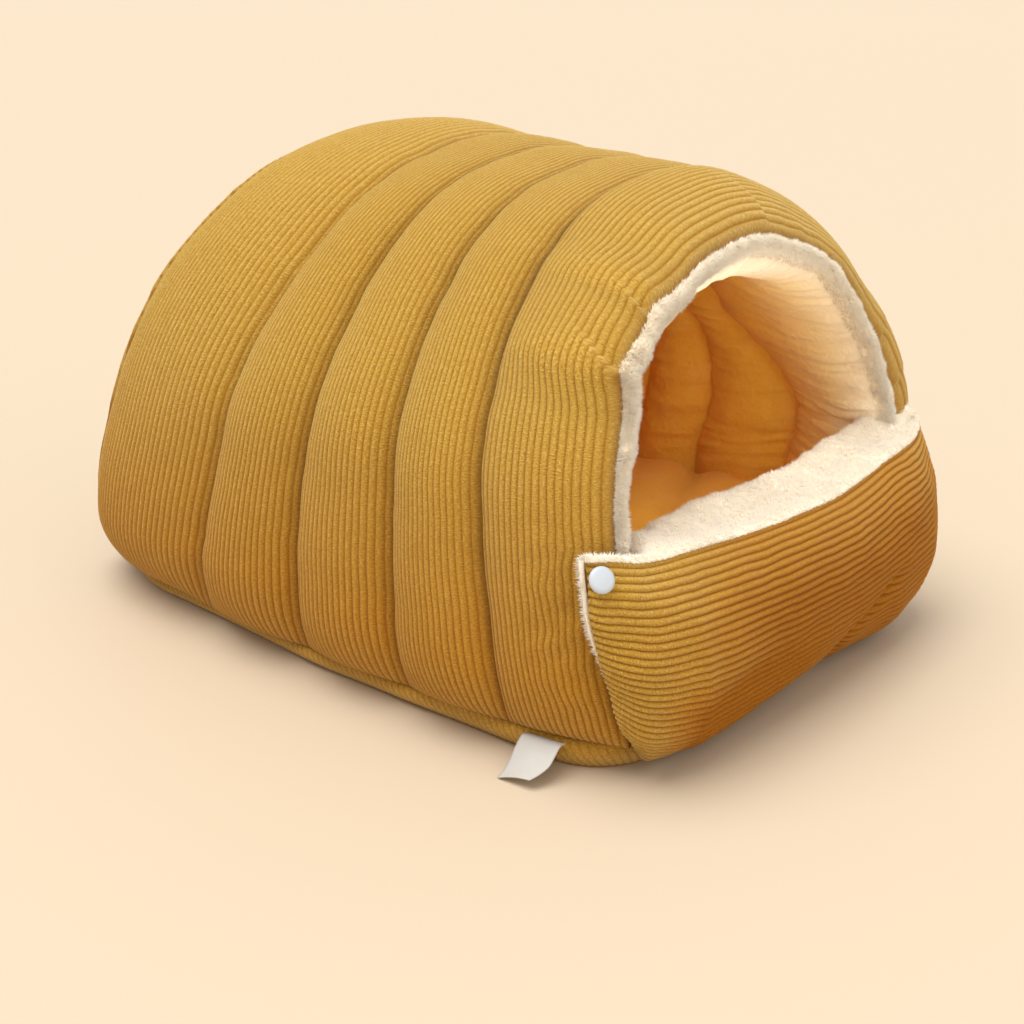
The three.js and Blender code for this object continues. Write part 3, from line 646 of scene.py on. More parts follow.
def build_base():
    count = 300
    shares, up = rib_columns(count)
    shares, up = shares[:-1], up[:-1]
    q0, u = level_loop(164, -236.5, 242, 50, 90, shares=shares)
    n = len(u)
    nq = np.roll(q0, -2, 0) - np.roll(q0, 2, 0)
    nq = unit(np.stack([nq[:, 1], -nq[:, 0]], -1))
    nq = np.where(np.sum(nq * q0, -1, keepdims=True) < 0, -nq, nq)
    top = foot_height(q0[:, 1]) - 0.7
    top = np.where(q0[:, 1] < -200, np.minimum(top, 18.5), top)
    wob = 0.8 * noise(np.stack([q0[:, 0], q0[:, 1], 0 * u], -1), 40, 51)
    loops, rib, uvs = [], [], []

    def loop(inset, z, r, lean=0.0):
        xy = q0 - nq * (np.zeros(n) + inset)[:, None]
        along = np.stack([-nq[:, 1], nq[:, 0]], -1)  # the ribs slant a little towards the front
        xy = xy + along * lean * np.where(q0[:, 0] < 0, 1.0, -1.0)[:, None]
        loops.append(np.stack([xy[:, 0], xy[:, 1], np.zeros(n) + z], -1))
        rib.append(np.zeros(n) + r)
        uvs.append(np.stack([shares * count, np.full(n, len(rib) * 0.4)], -1))

    loop(40, top - 2.0, 1.0)
    loop(14, top - 0.6, 1.0)
    loop(5.0, top, 0.4)
    # the top and bottom rows take groove colour: painted shade under the hood's foot and at the floor
    for i in range(0, 11):
        t = i / 10
        inset = 2.6 - 2.6 * math.sin(math.pi * min(t / 0.9, 1)) ** 0.8 + 6.0 * t ** 2.4 + (1.2 if i == 0 else 0)
        fade = math.sin(math.pi * min(0.5, 0.08 + t * 0.9))
        loop(inset + 0.45 * (1 - up) * fade - wob * math.sin(math.pi * t), top * (1 - t), (0.45 + 0.55 * up) if 0 < i < 10 else 0.3, 9.0 * t)
    loop(11.0, 0.0, 0.6)
    for inset in (30, 60, 90, 125):
        loop(inset, 0.0, 1.0)
    L = np.stack(loops)
    # painted shade: the whole base is darkened evenly, for the hood's shadow over it
    return stack_mesh("base_pad_cloth", L, [0, 0, float(np.mean(top)) - 2.0], np.zeros(3), np.stack(uvs), {"rib": np.stack(rib), "seam": np.zeros(L.shape[:2]), "painted_shade": np.full(L.shape[:2], 0.55)})


def mat_top(x, y):
    """Height of the floor mat's plush top."""
    z = 72 + 3.5 * np.cos(np.clip(x / 150, -1, 1) * math.pi / 2) - 1.0
    # one soft crease from the right wall across the mat, with a swell before and behind it
    a, b = np.array([150.0, -72.0]), np.array([30.0, -130.0])
    d = (b - a) / np.linalg.norm(b - a)
    px, py = x - a[0], y - a[1]
    along, off = px * d[0] + py * d[1], px * d[1] - py * d[0]
    off = off + 3.0 * np.sin(along / 21.0)
    fade = smooth((170 - along) / 60) * smooth((along + 40) / 30)
    z = z - fade * 6.5 * np.exp(-(off / 6.5) ** 2) + fade * 3.5 * np.exp(-((np.abs(off) - 20) / 14) ** 2)
    p = np.stack([x, y, 0 * x], -1)
    return z + 2.2 * noise(p, 60, 61) + 0.9 * noise(p, 21, 62) + 0.35 * noise(p, 8, 63)


def build_mat():
    n = 220
    loops = []
    spec = [(135, -178, 168, 36, 66, 47.5), (146, -190, 176, 44, 74, 52), (150, -194, 180, 48, 78, 60)]
    for w, fr, re, rf, rr, z in spec:
        q, _ = level_loop(w, fr, re, rf, rr, n)
        loops.append(np.stack([q[:, 0], q[:, 1], np.full(n, float(z))], -1))
    q, _ = level_loop(150, -194, 180, 48, 78, n)
    centre = np.array([0.0, -8.0])
    for share in (0.99, 0.965, 0.93, 0.88, 0.82, 0.76, 0.7, 0.64, 0.58, 0.52, 0.46, 0.4, 0.34, 0.28, 0.22, 0.16, 0.1, 0.05):
        xy = centre + (q - centre) * share
        t = smooth((1 - share) / 0.12)
        z = mix(64.0, mat_top(xy[:, 0], xy[:, 1]), t ** 0.6)
        loops.append(np.stack([xy[:, 0], xy[:, 1], z], -1))
    L = np.stack(loops)
    top = np.array([centre[0], centre[1], float(mat_top(np.array([0.0]), np.array([-8.0]))[0])])
    # the mat is painted in nearly the full deep shade
    return stack_mesh("floor_mat_plush", L, [0, -8, 47.5], top, None, {"tint_and_inner_shade": mix(0.8, 1.0, inner_shade(L))})


# ------------------------------------------------------------------ front flap
FLAP_TOP = ((-190, -232, 135.5), (-176, -237, 133), (-159, -242, 128.5), (-136, -246, 126.5), (-107, -250, 125), (-74, -253, 124),
            (-41, -255, 123), (0, -255, 121.5), (42, -252, 122), (83, -248, 125), (120, -243, 124.5), (148, -237, 125.5),
            (168, -229, 127.5), (182, -219, 129.5))
FLAP_FOOT = ((-155, -240, 20), (-146, -241.5, 12), (-128, -241, 7.5), (-64, -240, 6.5), (0, -240, 6.5), (64, -240, 6.5),
             (124, -240, 8), (148, -238, 17), (160, -230, 30))
FLAP_OUT, FLAP_IN, FLAP_INSIDE_Z, FLAP_RIBS = 29.0, 33.0, 48.0, 31
_ftop, _ffoot = spline(FLAP_TOP), spline(FLAP_FOOT)


def flap_away(t):
    e = 0.012
    tan = _ftop(np.clip(t + e, 0, 1)) - _ftop(np.clip(t - e, 0, 1))
    tan[..., 2] = 0
    tan = unit(tan)
    return np.stack([tan[..., 1], -tan[..., 0], 0 * t], -1)


def flap_side(t, v):
    """The left end bows out sideways between its corners."""
    x = -10 * np.power(np.maximum(0, np.sin(math.pi * np.clip(v, 0, 1))), 0.8) * (1 - smooth(t / 0.16)) + 3.4 * (1 - smooth(t / 0.12))
    return np.stack([x, 0 * x, 0 * x], -1)


def flap_outer(t, v, edge=6.0, lost=0.0):
    full = np.power(np.clip((np.minimum(t, 1 - t) - lost) / 0.14, 0, 1), 0.55 if lost == 0 else 0.46)
    p = _ftop(t) * (1 - v)[..., None] + _ffoot(t) * v[..., None]
    bow = np.power(np.maximum(0, 1 - (2 * v - 1) ** 2), 0.7)
    most = mix(FLAP_OUT, 21.0, smooth((t - 0.72) / 0.2))
    return p + flap_away(t) * (mix(edge, most, full) * bow)[..., None] + flap_side(t, v)


def flap_inner(t, v):
    top, low = _ftop(t), _ffoot(t)
    x = top[..., 0]
    k = smooth(np.where(x < 0, (150 + x) / 18, (168 - x) / 16))
    over = smooth((164 - np.abs(low[..., 0])) / 16)
    top = top + np.array([0, 1.4, 0.4])
    low = np.stack([low[..., 0], mix(low[..., 1] + 3.2, -239.8, over), mix(low[..., 2] + 5, FLAP_INSIDE_Z, over)], -1)
    p = top * (1 - v)[..., None] + low * v[..., None]
    back = np.power(np.maximum(0, 1 - (1 - np.clip(v / 0.34, 0, 1)) ** 2), 0.55) * mix(1, 0.5, smooth((v - 0.55) / 0.4))
    lift = mix(20.0, 23.0, smooth((t - 0.55) / 0.3)) * np.sin(math.pi * np.clip(v / 0.5, 0, 1)) ** 1.2
    deep = FLAP_IN * mix(1.0, 0.62, smooth((t - 0.8) / 0.15))
    lift = lift * mix(0.4, 1.0, smooth((x + 164) / 90))
    add = np.stack([0 * v, deep * k * back * (v < 1), k * lift], -1)
    return p + add + flap_side(t, v)


SNAPS = ((0.024, 0.07), (0.981, 0.24))
FLAP_LOST = 0.0035  # the corduroy stops short of the plush by this share at each end


def build_flap():
    T = np.linspace(0, 1, 247)
    T = FLAP_LOST + (1 - 2 * FLAP_LOST) * (T - 0.1 * np.sin(2 * math.pi * T))
    f, up = rib_columns(FLAP_RIBS)
    t, v = np.meshgrid(T, np.linspace(0, 1, 241), indexing="ij")
    p = flap_outer(t, v, 0.0, FLAP_LOST * 0.98)
    run = np.concatenate([np.zeros((len(T), 1)), np.cumsum(np.linalg.norm(np.diff(p, axis=1), axis=-1), axis=1)], 1)
    v = np.stack([np.interp(mix(f, f * r[-1], 1.0), r, q) for r, q in zip(run, v)])
    t = np.broadcast_to(T[:, None], v.shape)
    p = flap_outer(t, v, 0.0, FLAP_LOST * 0.98)
    n = grid_normals(p)
    n = np.where(np.sum(n * flap_away(t), -1, keepdims=True) < 0, -n, n)
    edge = np.minimum(t, 1 - t) * _ftop.length
    rise = 1.6 * noise(p, 58, 71) * np.minimum(1, edge / 20) + 1.1 * noise(p * np.array([1, 1, 1.6]), 25, 72) * np.minimum(1, edge / 10)
    rise = rise + 0.35 * noise(p, 11, 79) * np.minimum(1, edge / 10)
    # the cap pinches the cloth down round it; low at each end the flap gathers into the base seam
    for tc, vc in SNAPS:
        c = flap_outer(np.array([tc]), np.array([vc]), 0.0, FLAP_LOST * 0.98)[0] - np.array([3.0 if tc < 0.5 else 0.0, 0, 0])
        r = np.linalg.norm(p - c, axis=-1)
        rise = rise - 1.4 * np.exp(-(r / 11) ** 2) + 0.9 * np.exp(-((r - 21) / 9) ** 2)
        if tc < 0.5:  # soft folds run from the left cap down and to the right
            turn = np.arctan2(c[2] - p[..., 2], p[..., 0] - c[0])
            rise = rise + 1.3 * noise1(turn * 26, 8, 83) * np.exp(-((r - 24) / 22) ** 2) * smooth((r - 6) / 8)
    low = np.exp(-(np.maximum(0, (1 - v) * 110 - 14)) / 22) * np.exp(-np.maximum(0, edge - 8) / 30)
    slant = p[..., 2] + 0.45 * (p[..., 0] + 160)
    rise = rise + low * (1.9 * noise1(slant, 9, 73) + 1.2 * noise(p, 12, 67))
    pull = np.exp(-v * 60 / 10) * noise1(T * _ftop.length, 19, 74)[:, None]
    rise = rise + 0.6 * pull
    # towards the right end a lobe stands apart from the rest, with a soft valley between them at the bottom
    line = 0.70 - 0.14 * smooth((v - 0.5) / 0.34)
    rise = rise - 7.5 * np.exp(-np.abs((t - line) * _ftop.length / 8.5) ** 1.5) * smooth((v - 0.46) / 0.22) * (1 - 0.75 * smooth((v - 0.84) / 0.14))
    rise = rise + 3.5 * np.exp(-((t - 0.76) / 0.07) ** 2) * np.exp(-((v - 0.82) / 0.16) ** 2)
    # fuller at the bottom on the right, and a little low on the left
    rise = rise + 5.5 * np.exp(-((t - 0.90) / 0.075) ** 2) * np.exp(-((v - 0.62) / 0.3) ** 2)
    rise = rise + 2.8 * np.exp(-((t - 0.965) / 0.035) ** 2) * np.exp(-((v - 0.28) / 0.2) ** 2)
    rise = rise + 3.0 * np.exp(-((t - 0.3) / 0.2) ** 2) * np.exp(-((v - 0.86) / 0.12) ** 2)
    up = up.copy()
    up[0] = 0.9
    rise = rise - 1.5 * (1 - up)[None] * np.minimum(1, 0.3 + (1 - v) * 8)
    fine = p + n * rise[..., None]
    # ribs wander a little up and down
    down = unit(np.gradient(p, axis=1))
    fine = fine + down * ((0.8 * noise(p, 24, 75) + 0.4 * noise(p, 10, 68)) * np.minimum(1, np.minimum(v, 1 - v) * 14))[..., None]
    cols = list(range(0, len(f) - 1, 8)) + [len(f) - 1]
    back = flap_inner(t[:, cols], v[:, cols]) - np.array([0, 0.4, 0.4])
    back[:, 0, 2] -= 1.4
    back[0] = mix(back[0], fine[0][cols], 0.8)
    back[-1] = mix(back[-1], fine[-1][cols], 0.8)
    uv = np.stack([np.broadcast_to((f * FLAP_RIBS + 300)[None], t.shape), t * _ftop.length / 5], -1)
    # the flap's bottom is darkened where it meets the base: painted shade
    return shell_mesh("front_flap_cloth", fine, back, cols, uv, {"rib": np.broadcast_to(up[None], t.shape), "seam": np.exp(-(1 - v) * 110 / 3), "painted_shade": flap_painted_shade(t, v)}), T, fine[:, [0, 2]]


def flap_painted_shade(t, v):
    """Painted light and shade: paler at the left end and along the top, deeper in colour across the middle and below.
    """
    painted_shade = mix(0.3, 1.95, smooth((t - 0.02) / 0.34)) * mix(0.5, 1.0, smooth(v / 0.4)) - 0.25 * smooth((t - 0.75) / 0.15)
    return painted_shade + 1.7 * smooth((v - 0.5) / 0.28) * smooth((t - 0.05) / 0.12) * (1 - smooth((t - 0.26) / 0.25))


def build_flap_lining(T_edge, edge):
    T = np.linspace(0, 1, 241)
    v = np.concatenate([np.linspace(0, 0.5, 44), np.linspace(0.5, 0.97, 20)[1:]])
    t, v = np.meshgrid(T, v, indexing="ij")
    p = flap_inner(t, v)
    n = grid_normals(p)
    n = np.where((n[..., 1] + n[..., 2])[..., None] < 0, -n, n)
    inside = smooth(v / 0.05)
    thin = np.exp(-np.minimum(t, 1 - t) * _ftop.length / 3.0)
    along = t * _ftop.length
    wrinkle = 1.2 * noise1(along + 0.5 * v * 90, 9, 66) + 0.8 * noise1(along - 0.2 * v * 90, 5.5, 69)
    face = p + n * (GAP + PLUSH * (1 - 0.55 * thin) + inside * (0.9 * noise(p, 19, 76) + 0.8 * noise(p, 6, 77) + 0.4 * noise(p, 3, 78) + 0.8 * wrinkle))[..., None]
    # a rounded tuft at the right end of the top
    ball = np.exp(-((1 - t) * _ftop.length / 7) ** 2) * np.exp(-(v / 0.07) ** 2)
    face = face + n * (3.2 * ball)[..., None]
    # the plush shows as a narrow trim past the corduroy at the ends and along the top
    end = np.exp(-np.minimum(t, 1 - t) * _ftop.length / 4.0) * np.where(t < 0.5, 1 - 2.4 * smooth((v - 0.5) / 0.14), 1.0)
    way = np.where(t < 0.5, -1.0, 1.0)
    tan = unit(np.stack([flap_away(t)[..., 1] * -1, flap_away(t)[..., 0], 0 * t], -1))
    face = face + tan * (np.where(t < 0.5, 0.3, 1.7) * way * end)[..., None]
    # the plush stands up at the right, in front of the hood's end
    swell_up = np.exp(-((p[..., 0] - 153) / 23) ** 2) * np.power(np.sin(math.pi * np.clip(v / 0.36, 0, 1)), 0.8)
    face = face + np.array([0, -4.0, 7.5]) * swell_up[..., None]
    front = np.exp(-((p[..., 0] - 157) / 22) ** 2) * smooth(v / 0.03) * (1 - smooth((v - 0.09) / 0.16))
    face = face + np.array([0, -2.5, 4.0]) * front[..., None]
    # along the top it turns down over the corduroy's edge
    e0, e1 = (np.stack([np.interp(T, T_edge, edge[:, j, c]) for c in range(3)], -1) for j in (0, 1))
    over = unit(0.35 * flap_away(T) + np.array([0, 0, 1.0]))
    wave = 1 + 0.25 * noise1(T * _ftop.length, 5, 61)[:, None]
    roll = [mix(e0, e1, a) + over * b * wave for a, b in ((1.05, 0.1), (1.0, 0.8), (0.7, 1.35), (0.3, 1.6), (0.0, 1.7))]
    face = np.concatenate([np.stack(roll, 1), face[:, 1:]], 1)
    n = np.concatenate([np.repeat(over[:, None], len(roll), 1), n[:, 1:]], 1)
    back = np.concatenate([(e0 + over * 0.05)[:, None], (p + n[:, 4:] * GAP)[:, 6::6], (p + n[:, 4:] * GAP)[:, -1:]], 1)
    cols = [0] + list(range(10, face.shape[1], 6)) + [face.shape[1] - 1]
    if cols[-1] == cols[-2]:
        cols, back = cols[:-1], back[:, :-1]
    ob = shell_mesh("flap_lining_plush", face, back, cols, None, {"tint_and_inner_shade": 0.25 * inner_shade(face)})
    return ob, face, n


# ------------------------------------------------------------------ snaps and label
def build_cap(name, node, tc, v):
    lo, hi = (np.array(v) * 1000 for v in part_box(node))
    e = 0.015
    a, b = flap_outer(np.array([tc - e, tc + e]), np.array([v, v]))
    c, d = flap_outer(np.array([tc, tc]), np.array([v - e, v + e]))
    n = unit(np.cross(d - c, b - a))
    if np.dot(n, flap_away(np.array([tc]))[0]) < 0:
        n = -n
    profile = [(0.0, 0.0), (5.9, 0.0), (6.55, 0.35), (6.8, 0.95), (6.72, 1.45), (6.35, 1.95), (5.7, 2.35), (4.9, 2.62), (4.3, 2.7),
               (3.9, 2.72), (3.0, 2.86), (1.8, 2.98), (0.8, 3.04)]
    centre = (lo + hi) / 2 - n * (2.1 if tc < 0.5 else 3.6)
    side = unit(np.cross(n, [0, 0, 1.0]))
    other = np.cross(n, side)
    a = np.linspace(0, 2 * math.pi, 56, endpoint=False)
    loops = np.stack([centre + n * h + r * (np.cos(a)[:, None] * side + np.sin(a)[:, None] * other) for r, h in profile[1:]])
    return stack_mesh(name, loops, centre, centre + n * 3.06)


# the label's two long edges, root to tip
LABEL_REAR = ((-163, -178, 15.5), (-167, -177.5, 16), (-173, -178, 11.5), (-179, -179, 6), (-185, -180, 2.6), (-191.5, -181, 1.2))
LABEL_FRONT = ((-163, -204, 17.5), (-168.5, -205, 18.2), (-174, -206, 15.5), (-180, -206.5, 11.5), (-186, -204.5, 8.6), (-191, -202.5, 7.2))


def build_label():
    a, b = spline(LABEL_REAR), spline(LABEL_FRONT)
    u = np.linspace(0, 1, 40)
    w = np.linspace(0, 1, 19)
    g = a(u)[:, None] * (1 - w)[None, :, None] + b(u)[:, None] * w[None, :, None]
    n = grid_normals(g)
    n = np.where(n[..., 2:] < 0, -n, n)
    g = g + n * (1.1 * np.sin(math.pi * w)[None] * smooth(u * 2)[:, None] + 0.15 * noise(g, 9, 81))[..., None]
    cols = list(range(0, 19, 3))
    back = (g - n * 0.7)[:, cols]
    uv = np.stack(np.meshgrid(u * 38, w * 26, indexing="ij"), -1)
    return shell_mesh("label_ribbon", g, back, cols, uv, {"edge": np.broadcast_to(np.maximum(smooth((0.07 - w) / 0.05), smooth((w - 0.93) / 0.05))[None], g.shape[:2])})


# ------------------------------------------------------------------ materials
def new_material(name):
    m = bpy.data.materials.new(name)
    m.use_nodes = True
    nt = m.node_tree
    bsdf = nt.nodes["Principled BSDF"]
    return m, nt, bsdf


def add(nt, kind, **values):
    node = nt.nodes.new(kind)
    for key, val in values.items():
        if key.startswith("in_"):
            node.inputs[key[3:].replace("_", " ")].default_value = val
        else:
            setattr(node, key, val)
    return node


def ramp(nt, stops, fac):
    r = nt.nodes.new("ShaderNodeValToRGB")
    while len(r.color_ramp.elements) < len(stops):
        r.color_ramp.elements.new(0.5)
    for el, (pos, col) in zip(r.color_ramp.elements, stops):
        el.position = pos
        el.color = (*col, 1) if len(col) == 3 else col
    nt.links.new(fac, r.inputs["Fac"])
    return r.outputs["Color"]


def math_node(nt, op, a, b=None, clamp=False):
    n = nt.nodes.new("ShaderNodeMath")
    n.operation = op
    n.use_clamp = clamp
    for i, x in enumerate((a, b)):
        if x is None:
            continue
        if isinstance(x, (int, float)):
            n.inputs[i].default_value = x
        else:
            nt.links.new(x, n.inputs[i])
    return n.outputs[0]


def noise_tex(nt, vec, scale, detail=2.0, rough=0.5):
    n = add(nt, "ShaderNodeTexNoise", in_Scale=scale, in_Detail=detail, in_Roughness=rough)
    nt.links.new(vec, n.inputs["Vector"])
    return n.outputs["Fac"]


def mix_col(nt, fac, a, b, mode="MIX"):
    m = nt.nodes.new("ShaderNodeMix")
    m.data_type = "RGBA"
    m.blend_type = mode
    for sock, x in ((0, fac), (6, a), (7, b)):
        if isinstance(x, (int, float)):
            m.inputs[sock].default_value = x
        elif isinstance(x, tuple):
            m.inputs[sock].default_value = (*x, 1)
        else:
            nt.links.new(x, m.inputs[sock])
    return m.outputs[2]


# the grooves' colour is painted shade; the pale colour is a painted highlight on the crests' tufts
CORD_CREST, CORD_GROOVE_SHADE, CORD_PALE = (0.56, 0.342, 0.052), (0.33, 0.148, 0.010), (0.80, 0.60, 0.22)
# the plush's pale colour, and its painted half shade and deep shade inside the cave
PLUSH_PALE, PLUSH_HALF_SHADE, PLUSH_DEEP_SHADE = (0.95, 0.87, 0.74), (0.91, 0.71, 0.34), (0.91, 0.53, 0.07)


def corduroy_material():
    m, nt, bsdf = new_material("corduroy_wide_wale")
    geo = nt.nodes.new("ShaderNodeTexCoord").outputs["Object"]
    rib = add(nt, "ShaderNodeAttribute", attribute_name="rib").outputs["Fac"]
    seam = add(nt, "ShaderNodeAttribute", attribute_name="seam").outputs["Fac"]
    painted_shade = add(nt, "ShaderNodeAttribute", attribute_name="painted_shade").outputs["Fac"]
    uv = add(nt, "ShaderNodeUVMap", uv_map="cloth").outputs["UV"]
    # pile tufts: short dashes across each rib, broken up by noise
    stretch = add(nt, "ShaderNodeMapping", in_Scale=(3.4, 6.2, 1.0))
    nt.links.new(uv, stretch.inputs["Vector"])
    tuft = noise_tex(nt, stretch.outputs["Vector"], 1.0, 2.0, 0.6)
    fuzz = noise_tex(nt, geo, 1700.0, 3.0, 0.65)
    clump = noise_tex(nt, geo, 420.0, 2.0, 0.5)
    tone = noise_tex(nt, geo, 9.0, 3.0, 0.55)
    wear = noise_tex(nt, geo, 60.0, 2.0, 0.6)
    # crest colour on the ribs, painted shade in the grooves, with tufty edges between
    ragged = math_node(nt, "ADD", rib, math_node(nt, "MULTIPLY", math_node(nt, "SUBTRACT", tuft, 0.5), 1.1))
    col = mix_col(nt, math_node(nt, "POWER", math_node(nt, "MAXIMUM", ragged, 0.0), 0.8, True), CORD_GROOVE_SHADE, CORD_CREST)
    spark = math_node(nt, "MULTIPLY", math_node(nt, "SUBTRACT", tuft, 0.5, False), 3.0, False)
    spark = math_node(nt, "ADD", spark, math_node(nt, "MULTIPLY", math_node(nt, "SUBTRACT", clump, 0.5), 1.2))
    # pale flecks of pile on the crests only: a painted highlight along the crests, broken into dashes
    light = math_node(nt, "MULTIPLY", math_node(nt, "MAXIMUM", spark, 0.0), math_node(nt, "MULTIPLY", rib, 0.75), True)
    dark = math_node(nt, "MULTIPLY", math_node(nt, "MAXIMUM", math_node(nt, "MULTIPLY", spark, -1.0), 0.0), 0.55, True)
    col = mix_col(nt, light, col, CORD_PALE)
    col = mix_col(nt, dark, col, (0.31, 0.148, 0.020))
    col = mix_col(nt, math_node(nt, "MULTIPLY", math_node(nt, "SUBTRACT", tone, 0.35, True), 0.45, True), col, (0.55, 0.325, 0.060))
    col = mix_col(nt, math_node(nt, "MULTIPLY", math_node(nt, "SUBTRACT", wear, 0.55, True), 0.8, True), col, (0.39, 0.190, 0.024))
    # painted shade along the sewn valleys, the panel's edge and the flap's bottom
    col = mix_col(nt, math_node(nt, "MULTIPLY", seam, 0.45, True), col, (0.23, 0.085, 0.008))
    # painted shade: deeper in colour lower down, and most of all across the flap's middle and bottom
    col = mix_col(nt, math_node(nt, "ADD", painted_shade, 0.0, True), col, mix_col(nt, 1.0, col, (0.88, 0.64, 0.26), "MULTIPLY"))
    col = mix_col(nt, math_node(nt, "SUBTRACT", painted_shade, 1.0, True), col, mix_col(nt, 1.0, col, (0.80, 0.65, 0.28), "MULTIPLY"))
    nt.links.new(col, bsdf.inputs["Base Color"])
    rough = math_node(nt, "ADD", math_node(nt, "MULTIPLY", clump, 0.12), 0.82, True)
    nt.links.new(rough, bsdf.inputs["Roughness"])
    bsdf.inputs["Specular IOR Level"].default_value = 0.18
    sheen = math_node(nt, "ADD", 0.06, math_node(nt, "MULTIPLY", math_node(nt, "POWER", rib, 1.5), 0.62))
    # less sheen where the painted shade is deeper
    sheen = math_node(nt, "MULTIPLY", sheen, math_node(nt, "SUBTRACT", 1.0, math_node(nt, "MULTIPLY", painted_shade, 0.42)), True)
    nt.links.new(sheen, bsdf.inputs["Sheen Weight"])
    bsdf.inputs["Sheen Roughness"].default_value = 0.32
    bsdf.inputs["Sheen Tint"].default_value = (1.0, 0.88, 0.54, 1)
    h = math_node(nt, "ADD", math_node(nt, "MULTIPLY", tuft, 0.9), math_node(nt, "ADD", math_node(nt, "MULTIPLY", fuzz, 0.45), math_node(nt, "MULTIPLY", clump, 0.5)))
    bump = add(nt, "ShaderNodeBump", in_Strength=0.95, in_Distance=0.0015)
    nt.links.new(h, bump.inputs["Height"])
    nt.links.new(bump.outputs["Normal"], bsdf.inputs["Normal"])
    return m


def plush_material(name="plush_short_pile", fibre=False):
    m, nt, bsdf = new_material(name)
    geo = nt.nodes.new("ShaderNodeTexCoord").outputs["Object"]
    tint_and_inner_shade = add(nt, "ShaderNodeAttribute", attribute_name="tint_and_inner_shade").outputs["Fac"]
    curl = noise_tex(nt, geo, 330.0, 3.0, 0.6)
    fine = noise_tex(nt, geo, 1300.0, 2.0, 0.6)
    patch = noise_tex(nt, geo, 38.0, 2.0, 0.5)
    # painted shade: pale at the mouth, through half shade to deep orange inside
    col = mix_col(nt, math_node(nt, "MULTIPLY", tint_and_inner_shade, 2.0, True), PLUSH_PALE, PLUSH_HALF_SHADE)
    col = mix_col(nt, math_node(nt, "SUBTRACT", math_node(nt, "MULTIPLY", tint_and_inner_shade, 2.0), 1.0, True), col, PLUSH_DEEP_SHADE)
    shade = math_node(nt, "MULTIPLY", math_node(nt, "SUBTRACT", 0.62, curl, True), 1.1, True)
    col = mix_col(nt, shade, col, mix_col(nt, tint_and_inner_shade, (0.84, 0.72, 0.55), (0.82, 0.38, 0.045)))
    col = mix_col(nt, math_node(nt, "MULTIPLY", math_node(nt, "SUBTRACT", patch, 0.5, True), 0.9, True), col, mix_col(nt, tint_and_inner_shade, (0.97, 0.92, 0.84), (0.96, 0.62, 0.20)))
    nt.links.new(col, bsdf.inputs["Base Color"])
    bsdf.inputs["Roughness"].default_value = 0.95
    bsdf.inputs["Specular IOR Level"].default_value = 0.1
    # less sheen where the painted shade is deeper
    nt.links.new(math_node(nt, "SUBTRACT", 0.72, math_node(nt, "MULTIPLY", tint_and_inner_shade, 0.62), True), bsdf.inputs["Sheen Weight"])
    bsdf.inputs["Sheen Roughness"].default_value = 0.5
    bsdf.inputs["Sheen Tint"].default_value = (1.0, 0.96, 0.9, 1)
    if not fibre:
        h = math_node(nt, "ADD", math_node(nt, "MULTIPLY", curl, 1.0), math_node(nt, "MULTIPLY", fine, 0.45))
        bump = add(nt, "ShaderNodeBump", in_Strength=0.8, in_Distance=0.0014)
        nt.links.new(h, bump.inputs["Height"])
        nt.links.new(bump.outputs["Normal"], bsdf.inputs["Normal"])
    return m


def snap_material():
    m, nt, bsdf = new_material("snap_moulded")
    geo = nt.nodes.new("ShaderNodeTexCoord").outputs["Object"]
    grain = noise_tex(nt, geo, 500.0, 2.0, 0.5)
    scuff = noise_tex(nt, geo, 90.0, 3.0, 0.6)
    nt.links.new(mix_col(nt, scuff, (0.44, 0.49, 0.56), (0.49, 0.54, 0.61)), bsdf.inputs["Base Color"])
    nt.links.new(math_node(nt, "ADD", math_node(nt, "MULTIPLY", scuff, 0.16), 0.26), bsdf.inputs["Roughness"])
    bsdf.inputs["Coat Weight"].default_value = 0.15
    bump = add(nt, "ShaderNodeBump", in_Strength=0.12, in_Distance=0.0002)
    nt.links.new(grain, bump.inputs["Height"])
    nt.links.new(bump.outputs["Normal"], bsdf.inputs["Normal"])
    return m


def label_material():
    m, nt, bsdf = new_material("label_satin")
    uv = add(nt, "ShaderNodeUVMap", uv_map="cloth").outputs["UV"]
    edge = add(nt, "ShaderNodeAttribute", attribute_name="edge").outputs["Fac"]
    wave = add(nt, "ShaderNodeTexWave", in_Scale=2.4, in_Distortion=0.6, in_Detail=1.0)
    nt.links.new(uv, wave.inputs["Vector"])
    blot = noise_tex(nt, nt.nodes.new("ShaderNodeTexCoord").outputs["Object"], 70.0, 2.0, 0.5)
    col = mix_col(nt, blot, (0.50, 0.49, 0.47), (0.55, 0.54, 0.52))
    col = mix_col(nt, math_node(nt, "MULTIPLY", edge, 0.35), col, (0.42, 0.41, 0.39))
    nt.links.new(col, bsdf.inputs["Base Color"])
    bsdf.inputs["Roughness"].default_value = 0.5
    bsdf.inputs["Sheen Weight"].default_value = 0.2
    bump = add(nt, "ShaderNodeBump", in_Strength=0.25, in_Distance=0.0001)
    nt.links.new(wave.outputs["Fac"], bump.inputs["Height"])
    nt.links.new(bump.outputs["Normal"], bsdf.inputs["Normal"])
    return m


MAT = {"corduroy": corduroy_material(), "plush": plush_material(), "pile": plush_material("plush_fibre", True),
       "snap": snap_material(), "label": label_material()}


def finish_piece(ob, mat, nodes=()):
    ob.data.materials.append(MAT[mat])
    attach(ob, "root")
    if nodes:
        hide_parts(*nodes)
    return ob


